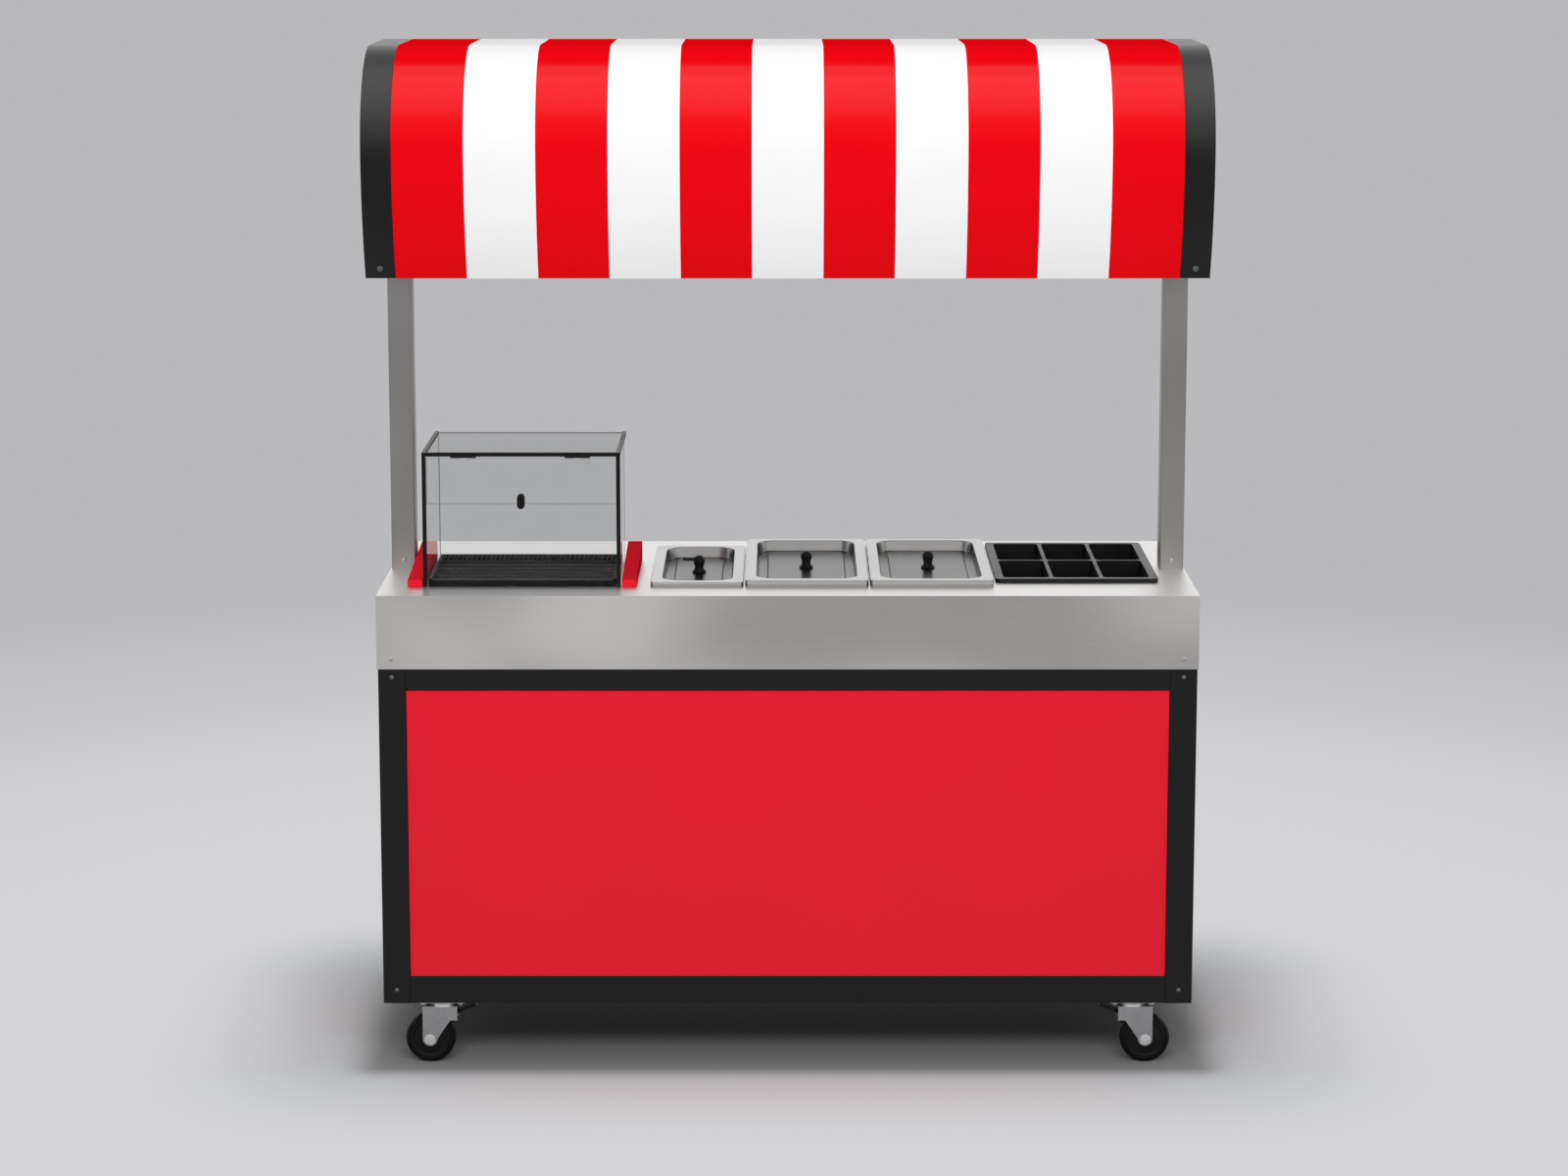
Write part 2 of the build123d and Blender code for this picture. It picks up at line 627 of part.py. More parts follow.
# Cabinet floor on the bearers, with the hole for the drain
FLOOR_LEVEL = FRAME_BOTTOM + BEARER_HEIGHT
FLOOR_END = RAIL_INSIDE_X - STUD_DEPTH - FLOOR_GAP
with BuildPart() as cabinet_floor:
    block(
        -FLOOR_END, FLOOR_END, FLOOR_GAP - RAIL_INSIDE_Y, RAIL_INSIDE_Y - FLOOR_GAP,
        FLOOR_LEVEL, FLOOR_LEVEL + FLOOR_THICKNESS,
    )
    for sx, sy in CORNERS.values():
        block(
            sx * (OPENING_LENGTH / 2 - FLOOR_GAP), sx * FRAME_END,
            sy * (OPENING_DEPTH / 2 - FLOOR_GAP), sy * FRAME_BACK,
            FLOOR_LEVEL, FLOOR_LEVEL + FLOOR_THICKNESS, mode=Mode.SUBTRACT,
        )
    hole = Plane.XY.move(Location((DRAIN_X, DRAIN_Y, FLOOR_LEVEL)))
    disc(hole, DRAIN_RADIUS + DRAIN_FLOOR_CLEARANCE, FLOOR_THICKNESS, mode=Mode.SUBTRACT)
save(cabinet_floor, "cabinet_floor")

# Doors on the vendor's side, flush with the frame, hung on their outer edges
DOOR_WIDTH = (OPENING_LENGTH - 3 * DOOR_GAP) / 2
DOOR_HEIGHT = CABINET_OPENING - 2 * DOOR_GAP
DOOR_X = (DOOR_WIDTH + DOOR_GAP) / 2
DOOR_FRONT = FRAME_BACK - DOOR_THICKNESS
PIN_X = OPENING_LENGTH / 2 - DOOR_GAP / 2
PIN_Y = FRAME_BACK + DOOR_KNUCKLE_RADIUS + HINGE_PLAY
HINGE_HEIGHTS = (
    OPENING_BOTTOM + DOOR_GAP + DOOR_HINGE_INSET,
    OPENING_TOP - DOOR_GAP - DOOR_HINGE_INSET - DOOR_HINGE_LENGTH,
)
KNUCKLE = DOOR_HINGE_LENGTH / 3


def door_knuckle(x, z0, z1, towards, bore):
    """Add a hinge knuckle with the tab that joins it to its leaf."""
    reach = DOOR_KNUCKLE_RADIUS + 2 * DOOR_LEAF_THICKNESS
    block(x, x + towards * reach, FRAME_BACK, FRAME_BACK + 2 * DOOR_LEAF_THICKNESS, z0, z1)
    axis = Plane.XY.move(Location((x, PIN_Y, z0)))
    disc(axis, DOOR_KNUCKLE_RADIUS, z1 - z0)
    disc(axis, bore, z1 - z0, mode=Mode.SUBTRACT)


def door_leaf(x, z0, towards):
    """Add a hinge leaf plate beside its knuckles."""
    near = x + towards * (DOOR_KNUCKLE_RADIUS + DOOR_LEAF_THICKNESS)
    far = x + towards * (DOOR_KNUCKLE_RADIUS + DOOR_LEAF_WIDTH)
    block(near, far, FRAME_BACK, FRAME_BACK + DOOR_LEAF_THICKNESS, z0, z0 + DOOR_HINGE_LENGTH)


for name, side in (("left", -1), ("right", 1)):
    with BuildPart() as door:
        plate(plane_along_y(side * DOOR_X, DOOR_FRONT, OPENING_Z), DOOR_WIDTH, DOOR_HEIGHT, DOOR_THICKNESS)
        plate(
            plane_along_y(side * DOOR_X, DOOR_FRONT, OPENING_Z),
            DOOR_WIDTH - 2 * DOOR_SHEET, DOOR_HEIGHT - 2 * DOOR_SHEET,
            DOOR_THICKNESS - DOOR_SHEET, mode=Mode.SUBTRACT,
        )
    save(door, f"{name}_door")

    with BuildPart() as fittings:
        for z0 in HINGE_HEIGHTS:
            door_leaf(side * PIN_X, z0, -side)
            door_knuckle(
                side * PIN_X, z0 + KNUCKLE + HINGE_PLAY, z0 + 2 * KNUCKLE - HINGE_PLAY,
                -side, DOOR_PIN_RADIUS + PIN_CLEARANCE,
            )
        grip = Plane(
            origin=(side * (DOOR_GAP / 2 + HANDLE_INSET), FRAME_BACK, OPENING_Z),
            x_dir=(0, 1, 0), z_dir=(1, 0, 0),
        )
        with BuildLine(grip) as bow:
            FilletPolyline(
                (0, -HANDLE_LENGTH / 2), (HANDLE_REACH, -HANDLE_LENGTH / 2),
                (HANDLE_REACH, HANDLE_LENGTH / 2), (0, HANDLE_LENGTH / 2),
                radius=HANDLE_BEND,
            )
        with BuildSketch(Plane(origin=bow.line @ 0, z_dir=bow.line % 0)):
            Circle(HANDLE_RADIUS)
        sweep(path=bow.line)
    save(fittings, f"{name}_door_fittings")

# Fixed halves of the door hinges with their pins, and the magnet catches
with BuildPart() as door_hardware:
    for side in (-1, 1):
        for z0 in HINGE_HEIGHTS:
            door_leaf(side * PIN_X, z0, side)
            for low, high in ((z0, z0 + KNUCKLE), (z0 + 2 * KNUCKLE, z0 + DOOR_HINGE_LENGTH)):
                door_knuckle(side * PIN_X, low, high, side, DOOR_PIN_RADIUS + PIN_CLEARANCE)
            pin = Plane.XY.move(Location((side * PIN_X, PIN_Y, z0)))
            disc(pin, DOOR_PIN_RADIUS, DOOR_HINGE_LENGTH + PIN_CLEARANCE)
            pin_head = pin.offset(DOOR_HINGE_LENGTH + PIN_CLEARANCE)
            disc(pin_head, DOOR_KNUCKLE_RADIUS, DOOR_LEAF_THICKNESS)
        block(
            side * HANDLE_INSET, side * (HANDLE_INSET + CATCH_WIDTH),
            RAIL_INSIDE_Y, DOOR_FRONT - CATCH_GAP, OPENING_TOP - CATCH_HEIGHT, OPENING_TOP,
        )
save(door_hardware, "door_hardware")

# Controls on the back of the apron: places along X and the common height
CONTROL_X = COUNTER_LENGTH / 2 - CONTROL_CENTRE
CONTROL_Z = COUNTER_TOP - CONTROL_BELOW_COUNTER
APRON_BACK = COUNTER_DEPTH / 2
CONTROL_FACE = APRON_BACK + CONTROL_PLATE
DIAL_X = CONTROL_X + DIAL_OFFSET
LAMP_X = CONTROL_X + LAMP_OFFSET
SWITCH_X = CONTROL_X + SWITCH_OFFSET
INLET_X = CONTROL_X + INLET_OFFSET
SWITCH_HOLE_WIDTH = SWITCH_WIDTH + 2 * SWITCH_PLAY
SWITCH_HOLE_HEIGHT = 2 * (SWITCH_RADIUS + SWITCH_PLAY)


def control_cuts(depth):
    """Cut the dial, lamp, switch and inlet openings from the control face inwards."""
    disc(plane_along_y(DIAL_X, CONTROL_FACE, CONTROL_Z), DIAL_SHAFT_HOLE, -depth, mode=Mode.SUBTRACT)
    disc(plane_along_y(LAMP_X, CONTROL_FACE, CONTROL_Z), LAMP_RADIUS, -depth, mode=Mode.SUBTRACT)
    plate(
        plane_along_y(SWITCH_X, CONTROL_FACE, CONTROL_Z),
        SWITCH_HOLE_WIDTH, SWITCH_HOLE_HEIGHT, -depth, mode=Mode.SUBTRACT,
    )
    plate(
        plane_along_y(INLET_X, CONTROL_FACE, CONTROL_Z),
        INLET_WIDTH, INLET_HEIGHT, -depth, mode=Mode.SUBTRACT,
    )


# Counter: folded sheet with cut-outs for the pans, the tray and the post spigots
SPIGOT_SIZE = POST_SIZE - 2 * POST_WALL - 2 * SPIGOT_CLEARANCE
TRAY_CUT_INSET = TRAY_FLANGE - CUTOUT_CLEARANCE
with BuildPart() as counter_sheet:
    block(
        -COUNTER_LENGTH / 2, COUNTER_LENGTH / 2, -COUNTER_DEPTH / 2, COUNTER_DEPTH / 2,
        APRON_BOTTOM, COUNTER_TOP,
    )
    rim = counter_sheet.faces().sort_by(Axis.Z)[-1].edges()
    uprights = counter_sheet.edges().filter_by(Axis.Z)
    fillet(rim + uprights, COUNTER_EDGE_RADIUS)
    block(-FRAME_END, FRAME_END, -FRAME_BACK, FRAME_BACK, APRON_BOTTOM, COUNTER_UNDERSIDE, mode=Mode.SUBTRACT)
    with BuildSketch(Plane.XY.offset(COUNTER_UNDERSIDE)):
        for left, width, depth, lid_rim in PANS.values():
            with Locations((left + width / 2, FRONT_LINE + depth / 2)):
                Rectangle(width - 2 * PAN_BEARING, depth - 2 * PAN_BEARING)
        with Locations((TRAY_X, TRAY_Y)):
            Rectangle(TRAY_WIDTH - 2 * TRAY_CUT_INSET, TRAY_DEPTH - 2 * TRAY_CUT_INSET)
        with Locations((-POST_X, 0), (POST_X, 0)):
            Rectangle(SPIGOT_SIZE + 2 * SPIGOT_CLEARANCE, SPIGOT_SIZE + 2 * SPIGOT_CLEARANCE)
    extrude(amount=COUNTER_SHEET, mode=Mode.SUBTRACT)
    control_cuts(2 * CONTROL_PLATE + COUNTER_SHEET)
    for place in APRON_SCREWS:
        screw_hole(place)

# The sheet is welded from a front and a back channel, with decks and bridges between the cut-outs
FRONT_SEAM = FRONT_LINE + PAN_BEARING
BACK_SEAM = FRONT_LINE + max(SMALL_PAN_DEPTH, LARGE_PAN_DEPTH) - PAN_BEARING
DECK_SEAMS = (
    -COUNTER_LENGTH / 2,
    PANS_LEFT + PAN_BEARING,
    PANS_LEFT + SMALL_PAN_WIDTH - PAN_BEARING,
    PANS_RIGHT - PAN_BEARING,
    TRAY_X - TRAY_WIDTH / 2 + TRAY_CUT_INSET,
    TRAY_X + TRAY_WIDTH / 2 - TRAY_CUT_INSET,
    COUNTER_LENGTH / 2,
)
counter_zones = [
    (DECK_SEAMS[0], DECK_SEAMS[-1], -COUNTER_DEPTH / 2, FRONT_SEAM),
    (DECK_SEAMS[0], DECK_SEAMS[-1], BACK_SEAM, COUNTER_DEPTH / 2),
]
counter_zones += [(left, right, FRONT_SEAM, BACK_SEAM) for left, right in zip(DECK_SEAMS, DECK_SEAMS[1:])]
counter_pieces = []
for left, right, front, back in counter_zones:
    with BuildPart() as zone:
        add(counter_sheet.part)
        block(left, right, front, back, APRON_BOTTOM, COUNTER_TOP, mode=Mode.INTERSECT)
    counter_pieces += zone.solids()
with BuildPart() as counter_top:
    add(counter_pieces, mode=Mode.REPLACE)
save(counter_top, "counter_top")

# Pans hang by their rims; lids lie on the rims and carry the knobs
PAN_FLANGE_TOP = COUNTER_TOP + PAN_RIM
for name, (left, width, depth, lid_rim) in PANS.items():
    middle = Location((left + width / 2, FRONT_LINE + depth / 2, 0))
    with BuildPart() as pan:
        with BuildSketch(Plane.XY.offset(COUNTER_TOP).move(middle)):
            RectangleRounded(width, depth, PAN_RIM_CORNER)
        extrude(amount=PAN_RIM)
        with BuildSketch(Plane.XY.offset(COUNTER_TOP).move(middle)):
            RectangleRounded(width - 2 * PAN_SHEET, depth - 2 * PAN_SHEET, PAN_RIM_CORNER - PAN_SHEET)
        extrude(amount=PAN_RIM - PAN_SHEET, mode=Mode.SUBTRACT)
        with BuildSketch(Plane.XY.offset(PAN_FLANGE_TOP).move(middle)):
            RectangleRounded(width - 2 * PAN_FLANGE, depth - 2 * PAN_FLANGE, PAN_CORNER)
        extrude(amount=-(PAN_RIM + PAN_DROP), taper=PAN_TAPER)
        with BuildSketch(Plane.XY.offset(PAN_FLANGE_TOP).move(middle)):
            RectangleRounded(
                width - 2 * (PAN_FLANGE + PAN_SHEET),
                depth - 2 * (PAN_FLANGE + PAN_SHEET),
                PAN_CORNER - PAN_SHEET,
            )
        extrude(amount=-(PAN_RIM + PAN_DROP - PAN_SHEET), taper=PAN_TAPER, mode=Mode.SUBTRACT)
    save(pan, f"{name}_pan")

    lid_top = PAN_FLANGE_TOP + lid_rim
    lid_floor = lid_top - LID_RECESS
    recess = LID_FLANGE + LID_SHEET
    boss = recess + LID_RECESS * sin(radians(LID_TAPER)) + LID_BOSS_INSET
    with BuildPart() as lid:
        with BuildSketch(Plane.XY.offset(PAN_FLANGE_TOP).move(middle)):
            RectangleRounded(width, depth, PAN_RIM_CORNER)
        extrude(amount=lid_rim)
        with BuildSketch(Plane.XY.offset(PAN_FLANGE_TOP).move(middle)):
            RectangleRounded(width - 2 * LID_SHEET, depth - 2 * LID_SHEET, PAN_RIM_CORNER - LID_SHEET)
        extrude(amount=lid_rim - LID_SHEET, mode=Mode.SUBTRACT)
        with BuildSketch(Plane.XY.offset(lid_top).move(middle)):
            RectangleRounded(width - 2 * LID_FLANGE, depth - 2 * LID_FLANGE, PAN_CORNER)
        extrude(amount=-(LID_RECESS + LID_SHEET), taper=LID_TAPER)
        with BuildSketch(Plane.XY.offset(lid_top).move(middle)):
            RectangleRounded(width - 2 * recess, depth - 2 * recess, PAN_CORNER - LID_SHEET)
        extrude(amount=-LID_RECESS, taper=LID_TAPER, mode=Mode.SUBTRACT)
        with BuildSketch(Plane.XY.offset(lid_floor).move(middle)):
            RectangleRounded(width - 2 * boss, depth - 2 * boss, PAN_RIM_CORNER)
        extrude(amount=LID_BOSS_HEIGHT, taper=LID_BOSS_TAPER)
        with BuildSketch(Plane.XY.offset(lid_floor - LID_SHEET).move(middle)):
            RectangleRounded(
                width - 2 * (boss + LID_SHEET), depth - 2 * (boss + LID_SHEET), PAN_RIM_CORNER - LID_SHEET,
            )
        extrude(amount=LID_BOSS_HEIGHT, taper=LID_BOSS_TAPER, mode=Mode.SUBTRACT)
    save(lid, f"{name}_lid")

    knob_foot = lid_floor + LID_BOSS_HEIGHT
    with BuildPart() as knob:
        centre = (left + width / 2, FRONT_LINE + depth / 2, knob_foot)
        with BuildSketch(Plane(origin=centre, x_dir=(1, 0, 0), z_dir=(0, -1, 0))):
            with BuildLine():
                Polyline(
                    (0, 0), (KNOB_BASE_RADIUS, 0), (KNOB_BASE_RADIUS, KNOB_BASE_HEIGHT),
                    (KNOB_NECK_RADIUS, 2 * KNOB_BASE_HEIGHT),
                )
                TangentArc(
                    (KNOB_NECK_RADIUS, 2 * KNOB_BASE_HEIGHT),
                    (KNOB_HEAD_RADIUS, KNOB_HEIGHT - KNOB_HEAD_RADIUS), tangent=(0, 1),
                )
                Line(
                    (KNOB_HEAD_RADIUS, KNOB_HEIGHT - KNOB_HEAD_RADIUS),
                    (KNOB_HEAD_RADIUS, KNOB_HEIGHT - KNOB_HEAD_RADIUS / 2),
                )
                TangentArc(
                    (0, KNOB_HEIGHT), (KNOB_HEAD_RADIUS, KNOB_HEIGHT - KNOB_HEAD_RADIUS / 2), tangent=(1, 0),
                )
                Line((0, KNOB_HEIGHT), (0, 0))
            make_face()
        revolve(axis=Axis(centre, (0, 0, 1)))
        if name == "left":
            block(
                left + width / 2 - KNOB_TAB_LENGTH, left + width / 2,
                FRONT_LINE + (depth - KNOB_TAB_SIZE) / 2, FRONT_LINE + (depth + KNOB_TAB_SIZE) / 2,
                knob_foot, knob_foot + KNOB_TAB_SIZE,
            )
    save(knob, f"{name}_lid_knob")

# Condiment tray: a moulded block with six tapered pockets
TRAY_TOP = COUNTER_TOP + TRAY_RIM
TRAY_INNER_WIDTH = TRAY_WIDTH - 2 * TRAY_FLANGE - 2 * TRAY_FLOOR
TRAY_INNER_DEPTH = TRAY_DEPTH - 2 * TRAY_FLANGE - 2 * TRAY_FLOOR
POCKET_WIDTH = (TRAY_INNER_WIDTH - (TRAY_COLUMNS - 1) * TRAY_WALL) / TRAY_COLUMNS
POCKET_DEPTH = (TRAY_INNER_DEPTH - (TRAY_ROWS - 1) * TRAY_WALL) / TRAY_ROWS
with BuildPart() as condiment_tray:
    tray_place = Location((TRAY_X, TRAY_Y, 0))
    with BuildSketch(Plane.XY.offset(COUNTER_TOP).move(tray_place)):
        RectangleRounded(TRAY_WIDTH, TRAY_DEPTH, TRAY_CORNER)
    extrude(amount=TRAY_RIM)
    with BuildSketch(Plane.XY.offset(COUNTER_TOP).move(tray_place)):
        RectangleRounded(TRAY_WIDTH - 2 * TRAY_FLANGE, TRAY_DEPTH - 2 * TRAY_FLANGE, TRAY_CORNER)
    extrude(amount=-TRAY_DROP, taper=TRAY_TAPER)
    with BuildSketch(Plane.XY.offset(TRAY_TOP).move(tray_place)):
        with GridLocations(POCKET_WIDTH + TRAY_WALL, POCKET_DEPTH + TRAY_WALL, TRAY_COLUMNS, TRAY_ROWS):
            RectangleRounded(POCKET_WIDTH, POCKET_DEPTH, TRAY_CORNER)
    extrude(amount=-(TRAY_RIM + TRAY_DROP - TRAY_FLOOR), taper=TRAY_TAPER, mode=Mode.SUBTRACT)
save(condiment_tray, "condiment_tray")

# Water tank under the pans, its heating element and its drain
ELEMENT_Y = (TANK_FRONT + TANK_BACK) / 2
ELEMENT_Z = TANK_FLOOR + ELEMENT_STANDOFF
ELEMENT_HOLE = ELEMENT_RADIUS + PIN_CLEARANCE
ELEMENT_ENDS = (ELEMENT_Y - ELEMENT_LEGS / 2, ELEMENT_Y + ELEMENT_LEGS / 2)
with BuildPart() as water_tank:
    block(TANK_LEFT, TANK_RIGHT, TANK_FRONT, TANK_BACK, TANK_BOTTOM, COUNTER_UNDERSIDE)
    block(
        TANK_LEFT + TANK_SHEET, TANK_RIGHT - TANK_SHEET, TANK_FRONT + TANK_SHEET, TANK_BACK - TANK_SHEET,
        TANK_FLOOR, COUNTER_UNDERSIDE, mode=Mode.SUBTRACT,
    )
    for y in ELEMENT_ENDS:
        disc(plane_along_x(TANK_RIGHT, y, ELEMENT_Z), ELEMENT_HOLE, -TANK_SHEET, mode=Mode.SUBTRACT)
    drain_hole = Plane.XY.move(Location((DRAIN_X, DRAIN_Y, TANK_BOTTOM)))
    disc(drain_hole, DRAIN_BORE, TANK_SHEET, mode=Mode.SUBTRACT)
save(water_tank, "water_tank")

with BuildPart() as heating_element:
    with BuildLine() as loop:
        bend_x = TANK_LEFT + ELEMENT_INSET + ELEMENT_LEGS / 2
        end_x = TANK_RIGHT + ELEMENT_TERMINAL
        first = Line((end_x, ELEMENT_ENDS[0], ELEMENT_Z), (bend_x, ELEMENT_ENDS[0], ELEMENT_Z))
        bend = TangentArc(first @ 1, (bend_x, ELEMENT_ENDS[1], ELEMENT_Z), tangent=(-1, 0, 0))
        Line(bend @ 1, (end_x, ELEMENT_ENDS[1], ELEMENT_Z))
    with BuildSketch(Plane(origin=first @ 0, z_dir=first % 0)):
        Circle(ELEMENT_RADIUS)
    sweep(path=loop.wires()[0])
    with BuildSketch(plane_along_x(TANK_RIGHT, ELEMENT_Y, ELEMENT_Z)):
        RectangleRounded(
            ELEMENT_LEGS + 2 * ELEMENT_HEAD_MARGIN, 2 * (ELEMENT_STANDOFF - COUNTER_SHEET), ELEMENT_RADIUS,
        )
        with Locations((-ELEMENT_LEGS / 2, 0), (ELEMENT_LEGS / 2, 0)):
            Circle(ELEMENT_HOLE, mode=Mode.SUBTRACT)
    extrude(amount=ELEMENT_HEAD_THICKNESS)
save(heating_element, "heating_element")

VALVE_FACE = DRAIN_Y + VALVE_RADIUS
LEVER_Y = VALVE_FACE + HINGE_PLAY
STEM_END = LEVER_Y + LEVER_THICKNESS + HINGE_PLAY
with BuildPart() as drain_valve:
    spout = Plane.XY.move(Location((DRAIN_X, DRAIN_Y, DRAIN_END)))
    disc(spout, DRAIN_RADIUS, TANK_BOTTOM - DRAIN_END)
    disc(spout.offset(TANK_BOTTOM - DRAIN_END), DRAIN_FLANGE_RADIUS, -DRAIN_FLANGE_THICKNESS)
    disc(spout.offset(VALVE_HEIGHT - VALVE_LENGTH / 2 - DRAIN_END), VALVE_RADIUS, VALVE_LENGTH)
    disc(spout.offset(DRAIN_STICKOUT), DRAIN_COLLAR_RADIUS, DRAIN_FLANGE_THICKNESS)
    stem = plane_along_y(DRAIN_X, DRAIN_Y, VALVE_HEIGHT)
    disc(stem, 2 * STEM_RADIUS, VALVE_RADIUS)
    disc(stem, STEM_RADIUS, STEM_END - DRAIN_Y)
    disc(plane_along_y(DRAIN_X, STEM_END, VALVE_HEIGHT), STEM_NUT_RADIUS, STEM_NUT_THICKNESS)
    disc(spout, DRAIN_BORE, TANK_BOTTOM - DRAIN_END, mode=Mode.SUBTRACT)
save(drain_valve, "drain_valve")

with BuildPart() as drain_lever:
    with BuildSketch(plane_along_y(DRAIN_X, LEVER_Y, VALVE_HEIGHT)):
        with Locations((-LEVER_LENGTH / 2, 0)):
            SlotCenterToCenter(LEVER_LENGTH, LEVER_WIDTH)
        Circle(STEM_RADIUS + PIN_CLEARANCE, mode=Mode.SUBTRACT)
    extrude(amount=LEVER_THICKNESS)
save(drain_lever, "drain_lever")

# Control plate with the thermostat, switch and lamp housings behind it
with BuildPart() as control_panel:
    plate(plane_along_y(CONTROL_X, APRON_BACK, CONTROL_Z), CONTROL_LENGTH, CONTROL_HEIGHT, CONTROL_PLATE)
    control_cuts(CONTROL_PLATE)
    body_face = FRAME_BACK
    plate(
        plane_along_y(DIAL_X, body_face, CONTROL_Z), THERMOSTAT_SIZE, THERMOSTAT_SIZE, -THERMOSTAT_DEPTH,
    )
    disc(
        plane_along_y(DIAL_X, body_face, CONTROL_Z), DIAL_SHAFT + PIN_CLEARANCE,
        THERMOSTAT_WALL - THERMOSTAT_DEPTH, mode=Mode.SUBTRACT,
    )
    plate(
        plane_along_y(SWITCH_X, body_face, CONTROL_Z), SWITCH_HOLE_WIDTH + 2 * SWITCH_BOX_WALL,
        SWITCH_HOLE_HEIGHT + 2 * SWITCH_BOX_WALL, -SWITCH_BOX_DEPTH,
    )
    plate(
        plane_along_y(SWITCH_X, body_face, CONTROL_Z), SWITCH_HOLE_WIDTH, SWITCH_HOLE_HEIGHT,
        SWITCH_BOX_WALL - SWITCH_BOX_DEPTH, mode=Mode.SUBTRACT,
    )
save(control_panel, "control_panel")

with BuildPart() as thermostat_knob:
    dial_face = CONTROL_FACE + DIAL_GAP
    shaft_end = FRAME_BACK - THERMOSTAT_DEPTH + THERMOSTAT_WALL + DIAL_GAP
    disc(plane_along_y(DIAL_X, shaft_end, CONTROL_Z), DIAL_SHAFT, dial_face - shaft_end)
    disc(plane_along_y(DIAL_X, dial_face, CONTROL_Z), DIAL_RADIUS, DIAL_DEPTH)
    grip = plane_along_y(DIAL_X, dial_face + DIAL_DEPTH, CONTROL_Z)
    plate(grip, DIAL_GRIP_WIDTH, DIAL_GRIP_HEIGHT, DIAL_GRIP_DEPTH)
save(thermostat_knob, "thermostat_knob")

with BuildPart() as power_switch:
    tilted = Plane(
        origin=(SWITCH_X - SWITCH_WIDTH / 2, APRON_BACK, CONTROL_Z),
        x_dir=(0, cos(radians(SWITCH_TILT)), -sin(radians(SWITCH_TILT))), z_dir=(1, 0, 0),
    )
    with BuildSketch(tilted):
        with BuildLine():
            CenterArc((0, 0), SWITCH_RADIUS, 90 - SWITCH_ARC / 2, SWITCH_ARC)
            CenterArc((0, 0), SWITCH_RADIUS, 270 - SWITCH_ARC / 2, SWITCH_ARC)
            reach = SWITCH_RADIUS * sin(radians(SWITCH_ARC / 2))
            height = SWITCH_RADIUS * cos(radians(SWITCH_ARC / 2))
            Polyline((reach, height), (reach - SWITCH_PLAY, 0), (reach, -height))
            Line((-reach, height), (-reach, -height))
        make_face()
    extrude(amount=SWITCH_WIDTH)
save(power_switch, "power_switch")

with BuildPart() as pilot_lamp:
    lamp = plane_along_y(LAMP_X, CONTROL_FACE - LAMP_DEPTH, CONTROL_Z)
    disc(lamp, LAMP_RADIUS - PIN_CLEARANCE, LAMP_DEPTH)
    disc(plane_along_y(LAMP_X, CONTROL_FACE, CONTROL_Z), LAMP_RADIUS + COUNTER_SHEET, LAMP_DOME)
    fillet(pilot_lamp.edges().sort_by(Axis.Y)[-1], LAMP_DOME - 1)
save(pilot_lamp, "pilot_lamp")

with BuildPart() as power_inlet:
    face = plane_along_y(INLET_X, CONTROL_FACE, CONTROL_Z)
    plate(face, INLET_WIDTH, INLET_HEIGHT, -INLET_DEPTH)
    plate(face, INLET_WIDTH + 2 * INLET_FLANGE, INLET_HEIGHT + 2 * INLET_FLANGE, INLET_FLANGE_THICKNESS)
    mouth = plane_along_y(INLET_X, CONTROL_FACE + INLET_FLANGE_THICKNESS, CONTROL_Z)
    cavity = INLET_DEPTH + INLET_FLANGE_THICKNESS - INLET_WALL
    plate(mouth, INLET_WIDTH - 2 * INLET_WALL, INLET_HEIGHT - 2 * INLET_WALL, -cavity, mode=Mode.SUBTRACT)
    with BuildSketch(plane_along_y(INLET_X, CONTROL_FACE - INLET_DEPTH + INLET_WALL, CONTROL_Z)):
        with Locations(
            (-INLET_PIN_SPACING, -INLET_PIN_DROP), (0, INLET_PIN_DROP), (INLET_PIN_SPACING, -INLET_PIN_DROP),
        ):
            Rectangle(INLET_PIN_SIZE, 2 * INLET_PIN_SIZE)
    extrude(amount=INLET_PIN_LENGTH)
save(power_inlet, "power_inlet")

# Glass bun case: red cheeks, black crumb tray and rack
with BuildPart() as case_cheeks:
    for x in (LEFT_CHEEK_X, RIGHT_CHEEK_X):
        with BuildSketch(plane_along_x(x - CHEEK_WIDTH / 2, 0, COUNTER_TOP)):
            with BuildLine():
                Polyline(
                    (FRONT_LINE, 0), (CASE_BACK + CHEEK_OVERRUN, 0), (CASE_BACK + CHEEK_OVERRUN, CHEEK_BACK),
                    (FRONT_LINE, CHEEK_FRONT), close=True,
                )
            make_face()
        extrude(amount=CHEEK_WIDTH)
save(case_cheeks, "case_cheeks")

TRAY_INSIDE = CASE_POST + CRUMB_TRAY_GAP
CRUMB_FRONT = FRONT_LINE + PANE_SETBACK + PANE + CRUMB_TRAY_GAP
CRUMB_BACK = CASE_BACK - PANE - CRUMB_TRAY_GAP
RACK_LEVEL = COUNTER_TOP + CRUMB_TRAY_HEIGHT
with BuildPart() as crumb_tray:
    block(CASE_LEFT + TRAY_INSIDE, CASE_RIGHT - TRAY_INSIDE, CRUMB_FRONT, CRUMB_BACK, COUNTER_TOP, RACK_LEVEL)
    block(
        CASE_LEFT + TRAY_INSIDE + CRUMB_TRAY_SHEET, CASE_RIGHT - TRAY_INSIDE - CRUMB_TRAY_SHEET,
        CRUMB_FRONT + CRUMB_TRAY_SHEET, CRUMB_BACK - CRUMB_TRAY_SHEET,
        COUNTER_TOP + CRUMB_TRAY_SHEET, RACK_LEVEL, mode=Mode.SUBTRACT,
    )
save(crumb_tray, "crumb_tray")

